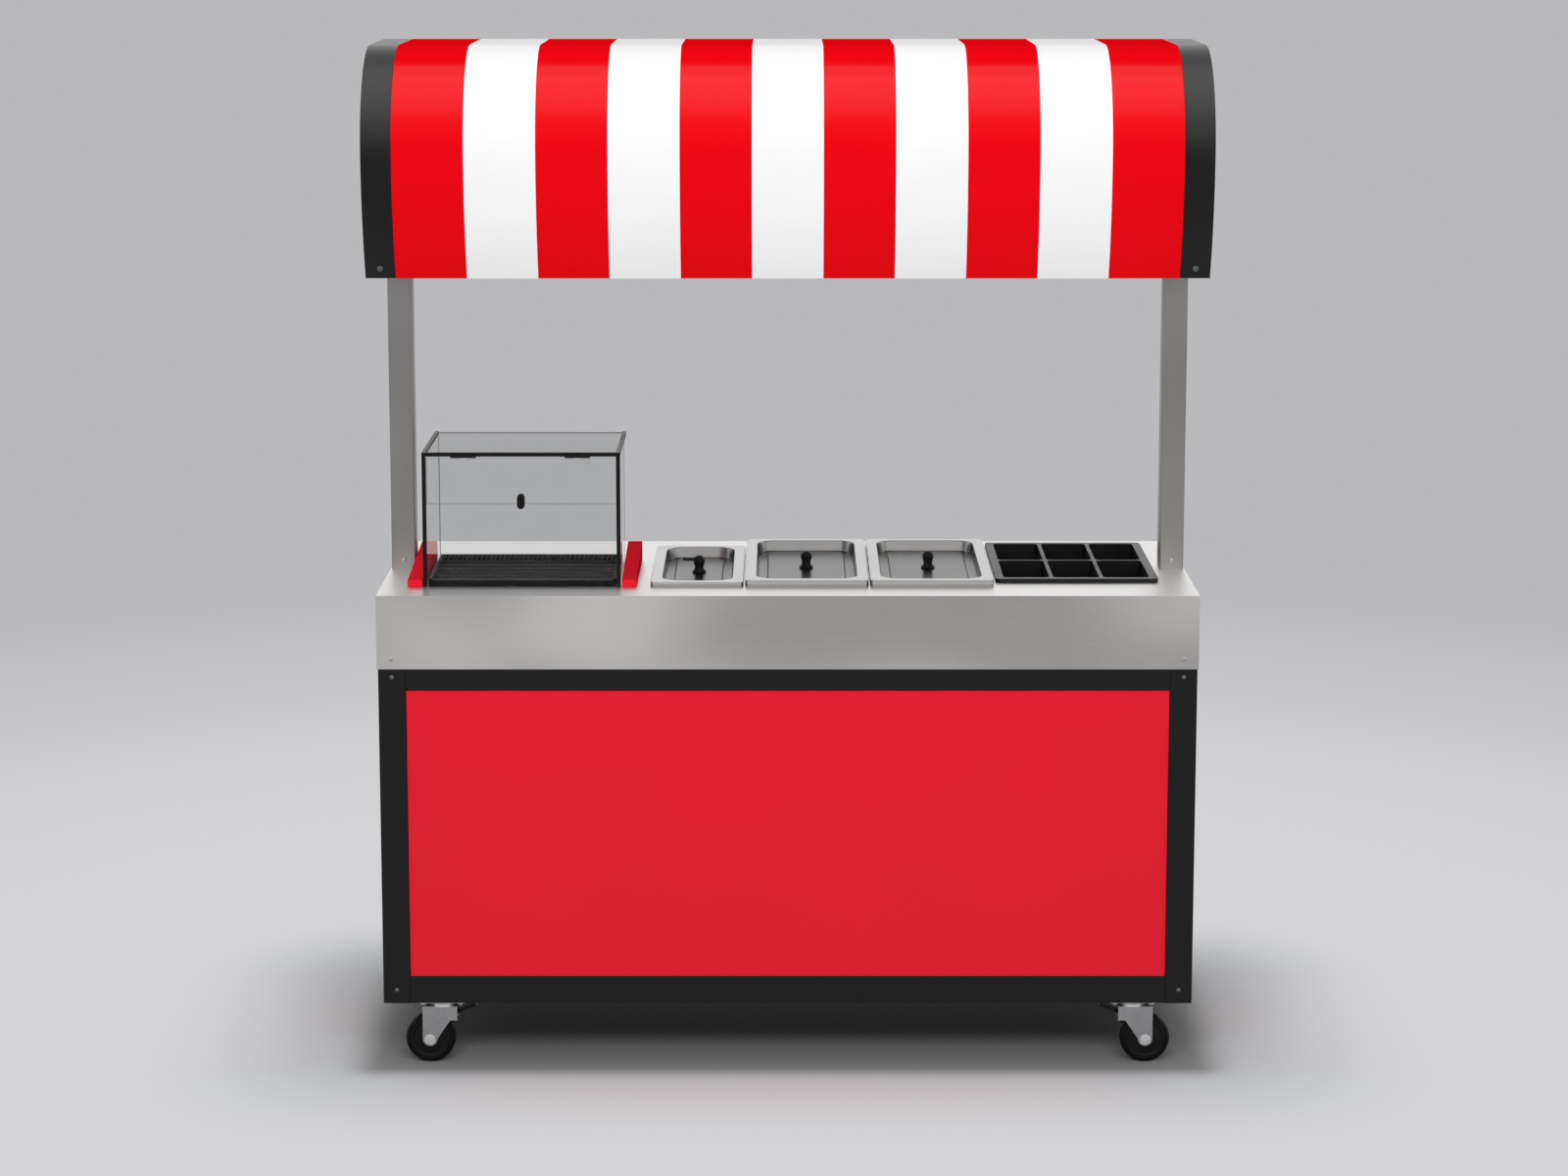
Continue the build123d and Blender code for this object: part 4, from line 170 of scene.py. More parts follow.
class CartColours(bpy.types.PropertyGroup):
    """Colours of the finishes, in linear light."""

    apron: colour("Apron steel", "Brushed stainless of the apron", (0.68, 0.66, 0.635))
    # The deck is the apron's stainless made much lighter: a painted highlight of the bright ceiling on
    # the counter's top
    deck: colour("Deck steel", "Bright stainless of the counter's top", (0.95, 0.945, 0.935))
    pressed: colour("Pressed steel", "Pans, lids and tank", (0.33, 0.326, 0.322))
    # Rim steel is the pressed steel made lighter: a painted highlight on the lids' rims, and the colour
    # of the bright screws
    rim: colour("Rim steel", "Rims of the lids, and bright screws", (0.46, 0.455, 0.45))
    post_steel: colour("Post steel", "Stainless tube", (0.34, 0.328, 0.312))
    frame_paint: colour("Frame paint", "Powder coat of the cabinet's frame", (0.0125, 0.0128, 0.0128))
    panel_red: colour("Panel red", "Paint of the panels, doors and cheeks", (0.81, 0.0145, 0.032))
    sheet_red: colour("Sheet red", "Red sheets of the canopy", (0.83, 0.0022, 0.0062))
    sheet_white: colour("Sheet white", "White sheets of the canopy", (0.94, 0.94, 0.935))
    black: colour("Black", "Black plastic and black coated metal", (0.006, 0.006, 0.006))
    cap_black: colour("Cap black", "End caps of the canopy", (0.006, 0.006, 0.006))
    # Lighter crown of the end caps: a painted sheen of the overhead light
    cap_painted_sheen: colour("Faded cap", "Sun-faded crown of the end caps", (0.048, 0.048, 0.047))
    glass: colour("Glass", "Tint of the panes", (0.905, 0.91, 0.91))
    # Darker tint of the top pane: painted shade for the same glass seen at a grazing angle
    smoked: colour("Smoked glass", "Tint of the case's top pane", (0.70, 0.705, 0.705))
    edge_glass: colour("Glass edge", "Ground edges of the panes", (0.03, 0.032, 0.031))
    wire: colour("Wire", "Coated wires of the bun rack", (0.045, 0.044, 0.042))
    screw: colour("Screw", "Dulled heads of the screws", (0.16, 0.16, 0.16))
    zinc: colour("Zinc", "Plated forks and fasteners", (0.36, 0.36, 0.365))
    tyre: colour("Tyre", "Rubber tread", (0.004, 0.004, 0.004))
    brass: colour("Brass", "Drain valve", (0.62, 0.42, 0.16))
    alloy: colour("Alloy", "Extruded aluminium", (0.72, 0.72, 0.73))
    lamp: colour("Lamp", "Lens of the pilot lamp", (0.85, 0.10, 0.02))
    floor: colour("Floor", "Floor near the cart", (0.655, 0.655, 0.67))
    # A cool tint painted on the paper before and beside the cart, to cancel the red panel's bounce light
    floor_tint_against_red_glow: colour(
        "Floor in front", "Cool paper before and beside the cart, against the red panel's glow",
        (0.65, 0.72, 0.745),
    )
    # Paper darkened under the cart: a painted shadow
    floor_painted_shadow: colour("Floor under", "Paper under the cart", (0.275, 0.275, 0.28))
    backdrop: colour("Backdrop", "Background far from the cart", (0.49, 0.49, 0.505))


class StudioLevels(bpy.types.PropertyGroup):
    """Camera and light of the plain studio."""

    camera_distance: length("Camera distance", "From the counter's front to the camera", 7.5)
    camera_height: length("Camera height", "Above the floor", 2.375)
    camera_side: FloatProperty(
        name="Camera side", description="Sideways", default=-0.0075, unit="LENGTH",
    )
    camera_tilt: FloatProperty(
        name="Camera tilt", description="Downwards", default=radians(9.48), subtype="ANGLE",
    )
    camera_lens: level("Lens", "Focal length in millimetres on a 36 mm sensor", 87.55)
    camera_shift: FloatProperty(name="Shift", description="Vertical shift of the frame", default=-0.04)
    dome: level("Dome", "Soft light from above, which fades towards the horizon", 0.29)
    glow: level("Glow", "Brightness of the bright band that polished metal sees above the horizon", 1.05)
    ceiling: level("Ceiling", "Brightness that polished metal sees high up behind", 0.12)
    overhead: level("Overhead lamp", "Power of the overhead lamps in watts", 30.0)
    front: level("Front lamp", "Power of the front lamp in watts", 166.0)


# Shader building

class Value:
    """A shader socket that takes part in sums as a number does; each sum adds a Math node."""

    def __init__(self, finish, socket):
        self.finish = finish
        self.socket = socket

    def maths(self, operation, first, second):
        return self.finish.node("ShaderNodeMath", {"operation": operation}, {0: first, 1: second})

    def __add__(self, other):
        return self.maths("ADD", self, other)

    def __sub__(self, other):
        return self.maths("SUBTRACT", self, other)

    def __rsub__(self, other):
        return self.maths("SUBTRACT", other, self)

    def __mul__(self, other):
        return self.maths("MULTIPLY", self, other)

    def __abs__(self):
        return self.maths("ABSOLUTE", self, 0.0)

    def more_than(self, limit):
        """How far the value is above a limit."""
        return self.maths("MAXIMUM", self - limit, 0.0)

    __radd__ = __add__
    __rmul__ = __mul__


class Finish:
    """The node tree of a material or a world."""

    def __init__(self, owner):
        self.owner = owner
        owner.use_nodes = True
        self.tree = owner.node_tree
        self.tree.nodes.clear()

    def node(self, kind, settings=None, sockets=None, output=0):
        """Add a node: its settings first, then the values or links of its sockets."""
        made = self.tree.nodes.new(kind)
        for key, value in (settings or {}).items():
            setattr(made, key, value)
        for key, value in (sockets or {}).items():
            socket = made.inputs[key]
            if isinstance(value, Value):
                self.tree.links.new(value.socket, socket)
            elif socket.type == "RGBA":
                socket.default_value = (*value, 1.0)
            else:
                socket.default_value = value
        return Value(self, made.outputs[output]) if made.outputs else None

    def place(self, scale=(1, 1, 1), turn=(0, 0, 0)):
        where = self.node("ShaderNodeTexCoord", output="Object")
        return self.node("ShaderNodeMapping", None, {"Vector": where, "Scale": scale, "Rotation": turn})

    def along(self, where, axis):
        """One axis of a place or direction."""
        return self.node("ShaderNodeSeparateXYZ", None, {0: where}, axis)

    def noise(self, where, scale, detail=2.0):
        return self.node("ShaderNodeTexNoise", None, {"Vector": where, "Scale": scale, "Detail": detail})

    def cells(self, where, scale):
        return self.node(
            "ShaderNodeTexVoronoi", {"feature": "F1"}, {"Vector": where, "Scale": scale}, "Color",
        )

    def span(self, value, low, high, start=0.0, end=1.0):
        """Carry a value's range from low to high over to another one, with soft ends."""
        return self.node(
            "ShaderNodeMapRange", {"interpolation_type": "SMOOTHSTEP"},
            {"Value": value, "From Min": low, "From Max": high, "To Min": start, "To Max": end},
        )

    def blend(self, share, first, second):
        return self.node("ShaderNodeMix", {"data_type": "RGBA"}, {0: share, 6: first, 7: second}, 2)

    def bump(self, height, depth):
        return self.node("ShaderNodeBump", None, {"Height": height, "Distance": depth})

    def principled(self, sockets):
        return self.node("ShaderNodeBsdfPrincipled", None, sockets)

    def mix_shader(self, share, first, second):
        return self.node("ShaderNodeMixShader", None, {0: share, 1: first, 2: second})

    def surface(self, shader):
        self.node("ShaderNodeOutputMaterial", None, {"Surface": shader})
        return self.owner

    def coat(self, sockets):
        """End a material in one principled shader."""
        return self.surface(self.principled(sockets))


def new_finish(name):
    return Finish(bpy.data.materials.new(name))


def shades(base, spread):
    """A darker and a lighter shade of a colour."""
    return [tuple(min(1.0, channel * (1 + side * spread)) for channel in base) for side in (-1, 1)]


def brushed(name, base, along, roughness=0.30, spread=0.10, edge=1.0, depth=8e-6):
    """Brushed stainless: fine streaks along one axis over soft, wide clouds."""
    made = new_finish(name)
    across = [1500.0] * 3
    across[along] = 9.0
    streaks = made.noise(made.place(across), 1.0, 2.0)
    clouds = made.span(made.noise(made.place((2.6, 2.6, 3.4), (0.0, 0.5, 0.0)), 1.0, 0.0), 0.25, 0.75)
    tone = made.blend(0.2 * streaks + 0.8 * clouds, *shades(base, spread))
    return made.coat({
        "Base Color": tone, "Metallic": 1.0, "Specular Tint": (edge,) * 3,
        "Roughness": roughness + 0.05 * (streaks - 0.5) + 0.06 * (clouds - 0.5),
        "Normal": made.bump(streaks, depth),
    })


def powder_coat(name, base, roughness=0.5, grain=1400.0, gloss=0.1):
    """Powder coat: a fine pebbled skin with a little mottling."""
    made = new_finish(name)
    pebbles = made.noise(made.place(), grain, 2.0)
    mottle = made.noise(made.place(), 9.0, 2.0)
    return made.coat({
        "Base Color": made.blend(0.6 * mottle + 0.4 * pebbles, *shades(base, 0.10)),
        "Roughness": roughness + 0.12 * (pebbles - 0.5) + 0.10 * (mottle - 0.5),
        "Specular IOR Level": gloss,
        "Normal": made.bump(pebbles, 0.00012),
    })


def satin_paint(name, base, gloss=0.08):
    """Satin enamel on flat sheet: faint orange peel and soft variation."""
    made = new_finish(name)
    peel = made.noise(made.place(), 260.0, 1.0)
    mottle = made.noise(made.place(), 3.5, 2.0)
    return made.coat({
        "Base Color": made.blend(mottle, *shades(base, 0.035)),
        "Roughness": 0.50 + 0.10 * (mottle - 0.5),
        "Specular IOR Level": gloss,
        "Normal": made.bump(peel, 0.00006),
    })


def gloss_sheet(name, base):
    """Vinyl sheet drawn tight over the hoops: glossy shoulders, and a crown dulled by the sun."""
    made = new_finish(name)
    ripple = made.noise(made.place((1.0, 2.2, 2.2)), 5.0, 1.0)
    skin = made.noise(made.place(), 700.0, 1.0)
    height = made.along(made.place(), "Z")
    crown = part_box("canopy_white_panels")[1].z
    shoulder, dull = (
        made.span(height, *(crown - depth for depth in depths)) for depths in (SHOULDER_GLOSS, CROWN_DULL)
    )
    gloss = (0.05 + 0.40 * shoulder) * dull
    return made.coat({
        "Base Color": made.blend(ripple, *shades(base, 0.025)),
        "Roughness": 0.20 + 0.06 * skin,
        "Specular IOR Level": 0.0, "Coat Weight": gloss, "Coat Roughness": 0.16,
        "Normal": made.bump(0.85 * ripple + 0.004 * skin, 0.0012),
    })


def black_plastic(name, base, roughness=0.36, grain=520.0, gloss=0.15, painted_sheen=None):
    """Moulded black plastic with a spark-eroded grain and worn patches; on the caps, a lighter crown
    painted as sheen of the overhead light.
    """
    made = new_finish(name)
    texture = made.noise(made.place(), grain, 2.0)
    wear = made.span(made.noise(made.place(), 14.0, 3.0), 0.45, 0.75)
    tone = made.blend(0.6 * wear + 0.4 * texture, *shades(base, 0.30))
    # Painted sheen: the tone turns lighter towards the crown, where the overhead light falls
    if painted_sheen:
        height = made.along(made.place(), "Z")
        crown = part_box("canopy_ends")[1].z
        tone = made.blend(made.span(height, *(crown - depth for depth in CAP_SHEEN)), tone, painted_sheen)
    return made.coat({
        "Base Color": tone,
        "Roughness": roughness + 0.14 * (texture - 0.5) + 0.06 * wear, "Specular IOR Level": gloss,
        "Normal": made.bump(texture, 0.00008),
    })


def plated(name, base, roughness=0.32):
    """Zinc plate: small crystals of slightly different tone."""
    made = new_finish(name)
    crystal = made.cells(made.place(), 160.0)
    cloud = made.noise(made.place(), 30.0, 3.0)
    tone = made.blend(0.45 * crystal + 0.55 * cloud, *shades(base, 0.14))
    return made.coat({
        "Base Color": tone, "Metallic": 1.0,
        "Roughness": roughness + 0.14 * (cloud - 0.5) + 0.05 * crystal,
    })


def rubber(name, base):
    """Solid rubber tyre with dust in its pores."""
    made = new_finish(name)
    pores = made.noise(made.place(), 900.0, 2.0)
    dust = made.span(made.noise(made.place(), 40.0, 4.0), 0.5, 0.8)
    return made.coat({
        "Base Color": made.blend(0.7 * dust + 0.3 * pores, *shades(base, 0.35)),
        "Roughness": 0.52 + 0.2 * (pores - 0.5), "Specular IOR Level": 0.12,
        "Normal": made.bump(pores, 0.0001),
    })


def clear_glass(name, tint):
    """Tempered glass that lets light through to what stands behind it."""
    made = new_finish(name)
    smear = made.noise(made.place(), 18.0, 3.0)
    pane = made.principled({
        "Base Color": made.blend(smear, *shades(tint, 0.015)), "Roughness": 0.02 * smear,
        "Transmission Weight": 1.0, "IOR": 1.03,
    })
    shadow = made.node("ShaderNodeLightPath", output="Is Shadow Ray")
    return made.surface(made.mix_shader(shadow, pane, made.node(
        "ShaderNodeBsdfTransparent", None, {"Color": tint},
    )))


def glass_edge(name, base):
    """Ground edge of a pane, which looks dark from the side."""
    made = new_finish(name)
    grinding = made.noise(made.place(), 600.0, 2.0)
    return made.coat({
        "Base Color": made.blend(grinding, *shades(base, 0.25)), "Roughness": 0.35 + 0.2 * grinding,
        "Specular IOR Level": 0.1,
    })


def lamp_lens(name, base):
    """Ribbed lens of a pilot lamp, dimly lit."""
    made = new_finish(name)
    ribs = made.noise(made.place((1.0, 0.1, 1.0)), 900.0, 1.0)
    return made.coat({
        "Base Color": made.blend(ribs, *shades(base, 0.2)), "Roughness": 0.15 + 0.1 * ribs,
        "Emission Color": base, "Emission Strength": 0.15,
    })


FINISHES = {}


def finishes():
    """Every finish by name, made once."""
    if FINISHES:
        return FINISHES
    tone = bpy.context.scene.cart_colours
    FINISHES.update({
        # The apron's strong, wide clouds are partly tone that differs at random and partly painted
        # reflection of soft lights
        "apron": brushed("apron_steel", tone.apron, ALONG_X, 0.30, 0.28, depth=4e-6),
        "deck": brushed("deck_steel_painted_highlight", tone.deck, ALONG_X, 0.42, 0.04),
        "sheet": brushed("pressed_steel", tone.pressed, ALONG_Y, 0.24, 0.08, 0.6, 2e-6),
        "rim": brushed("rim_highlight_and_screw_steel", tone.rim, ALONG_X, 0.24, 0.06, depth=2e-6),
        "tube": brushed("tube_steel", tone.post_steel, ALONG_Z, 0.34),
        "frame": powder_coat("frame_coat", tone.frame_paint),
        "panel": satin_paint("panel_enamel", tone.panel_red),
        "red": gloss_sheet("red_vinyl", tone.sheet_red),
        "white": gloss_sheet("white_vinyl", tone.sheet_white),
        "cap": black_plastic("cap_shell", tone.cap_black, 0.36, 300.0, 0.25, tone.cap_painted_sheen),
        "trim": black_plastic("black_trim", tone.black),
        "tray": black_plastic("tray_plastic", tone.black, 0.34, 520.0, 0.22),
        "coated": powder_coat("black_coat", tone.black, 0.42, 900.0),
        "wire": powder_coat("rack_coat", tone.wire, 0.5, 900.0),
        "cheek": satin_paint("cheek_laminate", tone.panel_red, 0.0),
        "glass": clear_glass("case_glass", tone.glass),
        "smoked": clear_glass("top_pane_painted_shade", tone.smoked),
        "glass_edge": glass_edge("glass_edge", tone.edge_glass),
        "screw": plated("screw_heads", tone.screw, 0.36),
        "zinc": plated("zinc_plate", tone.zinc),
        "steel": plated("bright_steel", tone.alloy, 0.24),
        "alloy": brushed("alloy_extrusion", tone.alloy, ALONG_X, 0.34, 0.05),
        "tyre": rubber("tyre_rubber", tone.tyre),
        "core": black_plastic("wheel_core", tone.black),
        "brass": plated("valve_brass", tone.brass, 0.25),
        "lamp": lamp_lens("lamp_lens", tone.lamp),
    })
    return FINISHES


# Shape building

def sizes():
    return bpy.context.scene.cart_sizes


def node_shape(node):
    """A copy of a CAD node with its loose triangles merged into whole faces."""
    shape = bmesh.new()
    shape.from_mesh(frame["nodes"][node].data)
    bmesh.ops.remove_doubles(shape, verts=shape.verts, dist=MERGE)
    bmesh.ops.dissolve_limit(shape, angle_limit=FLAT, verts=shape.verts, edges=shape.edges)
    return shape


def islands(shape):
    """Vertices of each separate solid of a shape."""
    left = set(shape.verts)
    found = []
    for start in shape.verts:
        if start not in left:
            continue
        left.remove(start)
        solid, open_ends = [], [start]
        while open_ends:
            vert = open_ends.pop()
            solid.append(vert)
            near = {other for edge in vert.link_edges for other in edge.verts} & left
            left -= near
            open_ends += near
        found.append(solid)
    return found


def reach(verts):
    """Lowest and highest corner of some vertices."""
    return tuple(
        Vector([pick(vert.co[axis] for vert in verts) for axis in range(3)]) for pick in (min, max)
    )


def sharp_edges(shape):
    return [edge for edge in shape.edges if edge.is_manifold and edge.calc_face_angle() > SHARP]


def round_edges(shape, edges, radius, segments=2, clamp=True):
    if edges:
        bmesh.ops.bevel(
            shape, geom=edges, offset=radius, offset_type="OFFSET", affect="EDGES",
            segments=segments, profile=0.5, material=-1, clamp_overlap=clamp,
        )


def tidy(shape):
    """Merge doubles and turn all faces outwards."""
    bmesh.ops.remove_doubles(shape, verts=shape.verts, dist=MERGE)
    bmesh.ops.recalc_face_normals(shape, faces=shape.faces)


def face_away(shape, middle):
    """Turn each face away from a point."""
    for face in shape.faces:
        if face.normal.dot(face.calc_center_median() - middle) < 0:
            face.normal_flip()


def scaled(line, radius, height):
    """A turned outline in metres."""
    return [(radius * out, height * up) for out, up in line]


def thicken(shape, thickness):
    """Give a sheet its thickness behind the faces that show."""
    bmesh.ops.remove_doubles(shape, verts=shape.verts, dist=MERGE)
    shape.normal_update()
    bmesh.ops.solidify(shape, geom=shape.faces[:], thickness=thickness)


def finish_piece(shape, name, coats, *nodes):
    """Make an object of a shape that stands for CAD nodes; faces pick among its coats by their index."""
    mesh = bpy.data.meshes.new(name)
    shape.to_mesh(mesh)
    shape.free()
    mesh.shade_smooth()
    mesh.set_sharp_from_angle(angle=SHARP)
    for coat in coats.split():
        mesh.materials.append(finishes()[coat])
    piece = bpy.data.objects.new(name, mesh)
    bpy.context.scene.collection.objects.link(piece)
    weighted = piece.modifiers.new("flat faces", "WEIGHTED_NORMAL")
    weighted.keep_sharp = True
    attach(piece, NODE_BODY[nodes[0]])
    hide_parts(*nodes)


def dress(node, finish, edge=0.0):
    """Show a merged copy of a CAD node with its hard edges slightly rounded."""
    shape = node_shape(node)
    if edge:
        round_edges(shape, sharp_edges(shape), edge)
    finish_piece(shape, f"{node}.dressed", finish, node)


def paint(node, finish):
    """Give a CAD node that is right as it stands its finish."""
    slots = frame["nodes"][node].data.materials
    slots.clear()
    slots.append(finishes()[finish])


def add_box(shape, low, high):
    """Add a box between two corners and return its vertices."""
    size = Vector(high) - Vector(low)
    place = Matrix.Translation((Vector(low) + Vector(high)) / 2) @ Matrix.Diagonal((*size, 1.0))
    return bmesh.ops.create_cube(shape, size=1.0, matrix=place)["verts"]


def axis_place(centre, axis):
    """Place whose own Z runs along an axis through a point."""
    return Matrix.Translation(centre) @ Vector(axis).to_track_quat("Z", "Y").to_matrix().to_4x4()


def turn_line(shape, line, place, steps):
    """Turn a line of radii and heights about a place's Z into a round shape."""
    verts = [shape.verts.new(place @ Vector((radius, 0, height))) for radius, height in line]
    edges = [shape.edges.new(pair) for pair in zip(verts, verts[1:])]
    bmesh.ops.spin(
        shape, geom=verts + edges, cent=place.translation, axis=place.col[2].xyz, angle=2 * pi,
        steps=steps, use_merge=True,
    )


def rounded_loop(shape, centre, width, depth, corner, height, steps=8):
    """Vertices of a level rounded rectangle, in order."""
    loop = []
    for quarter, (side, end) in enumerate(((1, 1), (-1, 1), (-1, -1), (1, -1))):
        middle = Vector((
            centre.x + side * (width / 2 - corner), centre.y + end * (depth / 2 - corner), height,
        ))
        for step in range(steps + 1):
            angle = pi / 2 * (quarter + step / steps)
            loop.append(shape.verts.new(middle + corner * Vector((cos(angle), sin(angle), 0))))
    return loop


def pressed_sheet(rings, centre, sheet, bend):
    """Sheet pressed through level rounded rings, each given as width, depth, corner and height."""
    shape = bmesh.new()
    loops = [rounded_loop(shape, centre, *ring) for ring in rings]
    count = len(loops[0])
    for outer, inner in zip(loops, loops[1:]):
        for here in range(count):
            after = (here + 1) % count
            shape.faces.new((outer[here], outer[after], inner[after], inner[here]))
    shape.faces.new(loops[-1])
    bends = [
        shape.edges.get((loop[here - 1], loop[here])) for loop in loops[1:] for here in range(count)
    ]
    round_edges(shape, bends, bend, 3, clamp=False)
    thicken(shape, sheet)
    return shape


# Pieces

def vault_line(shape, x):
    """Draw the canopy's outer line at one place along it, from front foot to back foot."""
    low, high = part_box("canopy_white_panels")
    shoulder, tuck = sizes().vault_shoulder, sizes().vault_tuck
    spring = high.z - shoulder
    skirt = spring - low.z
    radius = (skirt ** 2 + tuck ** 2) / (2 * tuck)
    sweep = asin(skirt / radius)

    def arc(last, centre_y, angle):
        turned = bmesh.ops.spin(
            shape, geom=[last], cent=(x, centre_y, spring), axis=(-1, 0, 0), angle=angle,
            steps=sizes().spin_steps // 4,
        )
        return next(part for part in turned["geom_last"] if isinstance(part, bmesh.types.BMVert))

    foot = shape.verts.new((x, low.y + tuck, low.z))
    front = arc(arc(foot, low.y + radius, sweep), low.y + shoulder, pi / 2)
    back = shape.verts.new((x, high.y - shoulder, high.z))
    shape.edges.new((front, back))
    arc(arc(back, high.y - shoulder, pi / 2), high.y - radius, sweep)


def vault_strip(shape, start, end):
    """One sheet of the canopy between two places along it."""
    before = set(shape.edges)
    vault_line(shape, start)
    line = [edge for edge in shape.edges if edge not in before]
    drawn = bmesh.ops.extrude_edge_only(shape, edges=line)["geom"]
    verts = [part for part in drawn if isinstance(part, bmesh.types.BMVert)]
    bmesh.ops.translate(shape, verts=verts, vec=(end - start, 0, 0))
    return drawn


class CART_OT_canopy(bpy.types.Operator):
    """Canopy of striped sheets with a cap at each end"""

    bl_idname = "cart.canopy"
    bl_label = "Canopy"

    def execute(self, context):
        low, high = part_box("canopy_red_panels")
        width = (high.x - low.x) / STRIPES
        for first, tone in ((0, "red"), (1, "white")):
            shape = bmesh.new()
            for number in range(first, STRIPES, 2):
                vault_strip(shape, low.x + number * width, low.x + (number + 1) * width)
            bmesh.ops.recalc_face_normals(shape, faces=shape.faces)
            face_away(shape, Vector((0, 0, low.z)))
            thicken(shape, sizes().vault_sheet)
            round_edges(shape, sharp_edges(shape), sizes().sheet_edge, 1)
            finish_piece(shape, f"canopy_{tone}_sheets", tone, f"canopy_{tone}_panels")
        self.caps(low.x, high.x)
        dress("canopy_brackets", "frame")
        dress("canopy_purlins", "alloy")
        dress("canopy_hoops", "alloy")
        return {"FINISHED"}

    def caps(self, stripes_left, stripes_right):
        """Dark end caps: a band and a gable of one shell."""
        low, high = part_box("canopy_ends")
        shape = bmesh.new()
        for start, end in ((stripes_left, low.x), (stripes_right, high.x)):
            drawn = vault_strip(shape, start, end)
            rim = [part for part in drawn if isinstance(part, bmesh.types.BMEdge)]
            outer = [edge for edge in rim if all(abs(vert.co.x - end) < MERGE for vert in edge.verts)]
            feet = sorted(
                {vert for edge in outer for vert in edge.verts if abs(vert.co.z - low.z) < MERGE},
                key=lambda vert: vert.co.y,
            )
            outer.append(shape.edges.new(feet))
            bmesh.ops.contextual_create(shape, geom=outer)
        tidy(shape)
        face_away(shape, Vector((0, 0, low.z)))
        thicken(shape, sizes().vault_sheet)
        round_edges(shape, sharp_edges(shape), sizes().plastic_edge, 3)
        finish_piece(shape, "canopy_end_caps", "cap", "canopy_ends")


class CART_OT_posts(bpy.types.Operator):
    """Two square posts that carry the canopy"""

    bl_idname = "cart.posts"
    bl_label = "Canopy posts"

    def execute(self, context):
        dress("canopy_posts", "tube")
        return {"FINISHED"}


class CART_OT_counter(bpy.types.Operator):
    """Counter folded from one sheet, with cut-outs for the pans and the tray"""

    bl_idname = "cart.counter"
    bl_label = "Counter"

    def execute(self, context):
        low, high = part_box("counter_top")
        insets = {f"{name}_pan": sizes().pan_inset for name in PANS}
        insets["condiment_tray"] = sizes().tray_inset
        holes = []
        for node, inset in insets.items():
            near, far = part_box(node)
            holes.append((near + Vector((inset, inset, 0)), far - Vector((inset, inset, 0))))
        shape = bmesh.new()
        shape.faces.new([
            shape.verts.new((x, y, high.z))
            for x, y in ((low.x, low.y), (high.x, low.y), (high.x, high.y), (low.x, high.y))
        ])
        self.cut(shape, holes, (0, 1))
        rim = [edge for edge in shape.edges if edge.is_boundary and self.on_rim(edge, low, high)]
        drawn = bmesh.ops.extrude_edge_only(shape, edges=rim)["geom"]
        verts = [part for part in drawn if isinstance(part, bmesh.types.BMVert)]
        bmesh.ops.translate(shape, verts=verts, vec=DOWN * (high.z - low.z))
        bmesh.ops.recalc_face_normals(shape, faces=shape.faces)
        near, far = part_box("control_panel")
        margin = Vector((sizes().pan_inset, 0, sizes().pan_inset))
        self.cut(shape, [(near + margin, far - margin)], (0, 2), back_only=True)
        round_edges(shape, sharp_edges(shape), sizes().counter_edge, 4)
        thicken(shape, sizes().counter_sheet)
        hem = [
            edge for edge in sharp_edges(shape)
            if all(vert.co.z < low.z + MERGE for vert in edge.verts)
        ]
        round_edges(shape, hem, sizes().metal_edge)
        # Level faces take the lighter deck colour: a painted highlight on the same sheet as the apron
        for face in shape.faces:
            face.material_index = int(abs(face.normal.z) > LEVEL)
        finish_piece(shape, "counter_sheet", "apron deck", "counter_top")
        return {"FINISHED"}

    def on_rim(self, edge, low, high):
        middle = (edge.verts[0].co + edge.verts[1].co) / 2
        return min(middle.x - low.x, high.x - middle.x, middle.y - low.y, high.y - middle.y) < MERGE

    def cut(self, shape, holes, axes, back_only=False):
        """Cut rectangular holes that run along two axes."""
        def faces():
            return [face for face in shape.faces if not back_only or face.normal.y > FACING]

        for near, far in holes:
            for axis in axes:
                direction = Vector((0, 0, 0))
                direction[axis] = 1
                for edge_point in (near, far):
                    geom = list({part for face in faces() for part in (face, *face.edges, *face.verts)})
                    bmesh.ops.bisect_plane(shape, geom=geom, plane_co=edge_point, plane_no=direction)
            inside = [
                face for face in faces()
                if all(near[axis] < face.calc_center_median()[axis] < far[axis] for axis in axes)
            ]
            bmesh.ops.delete(shape, geom=inside, context="FACES")


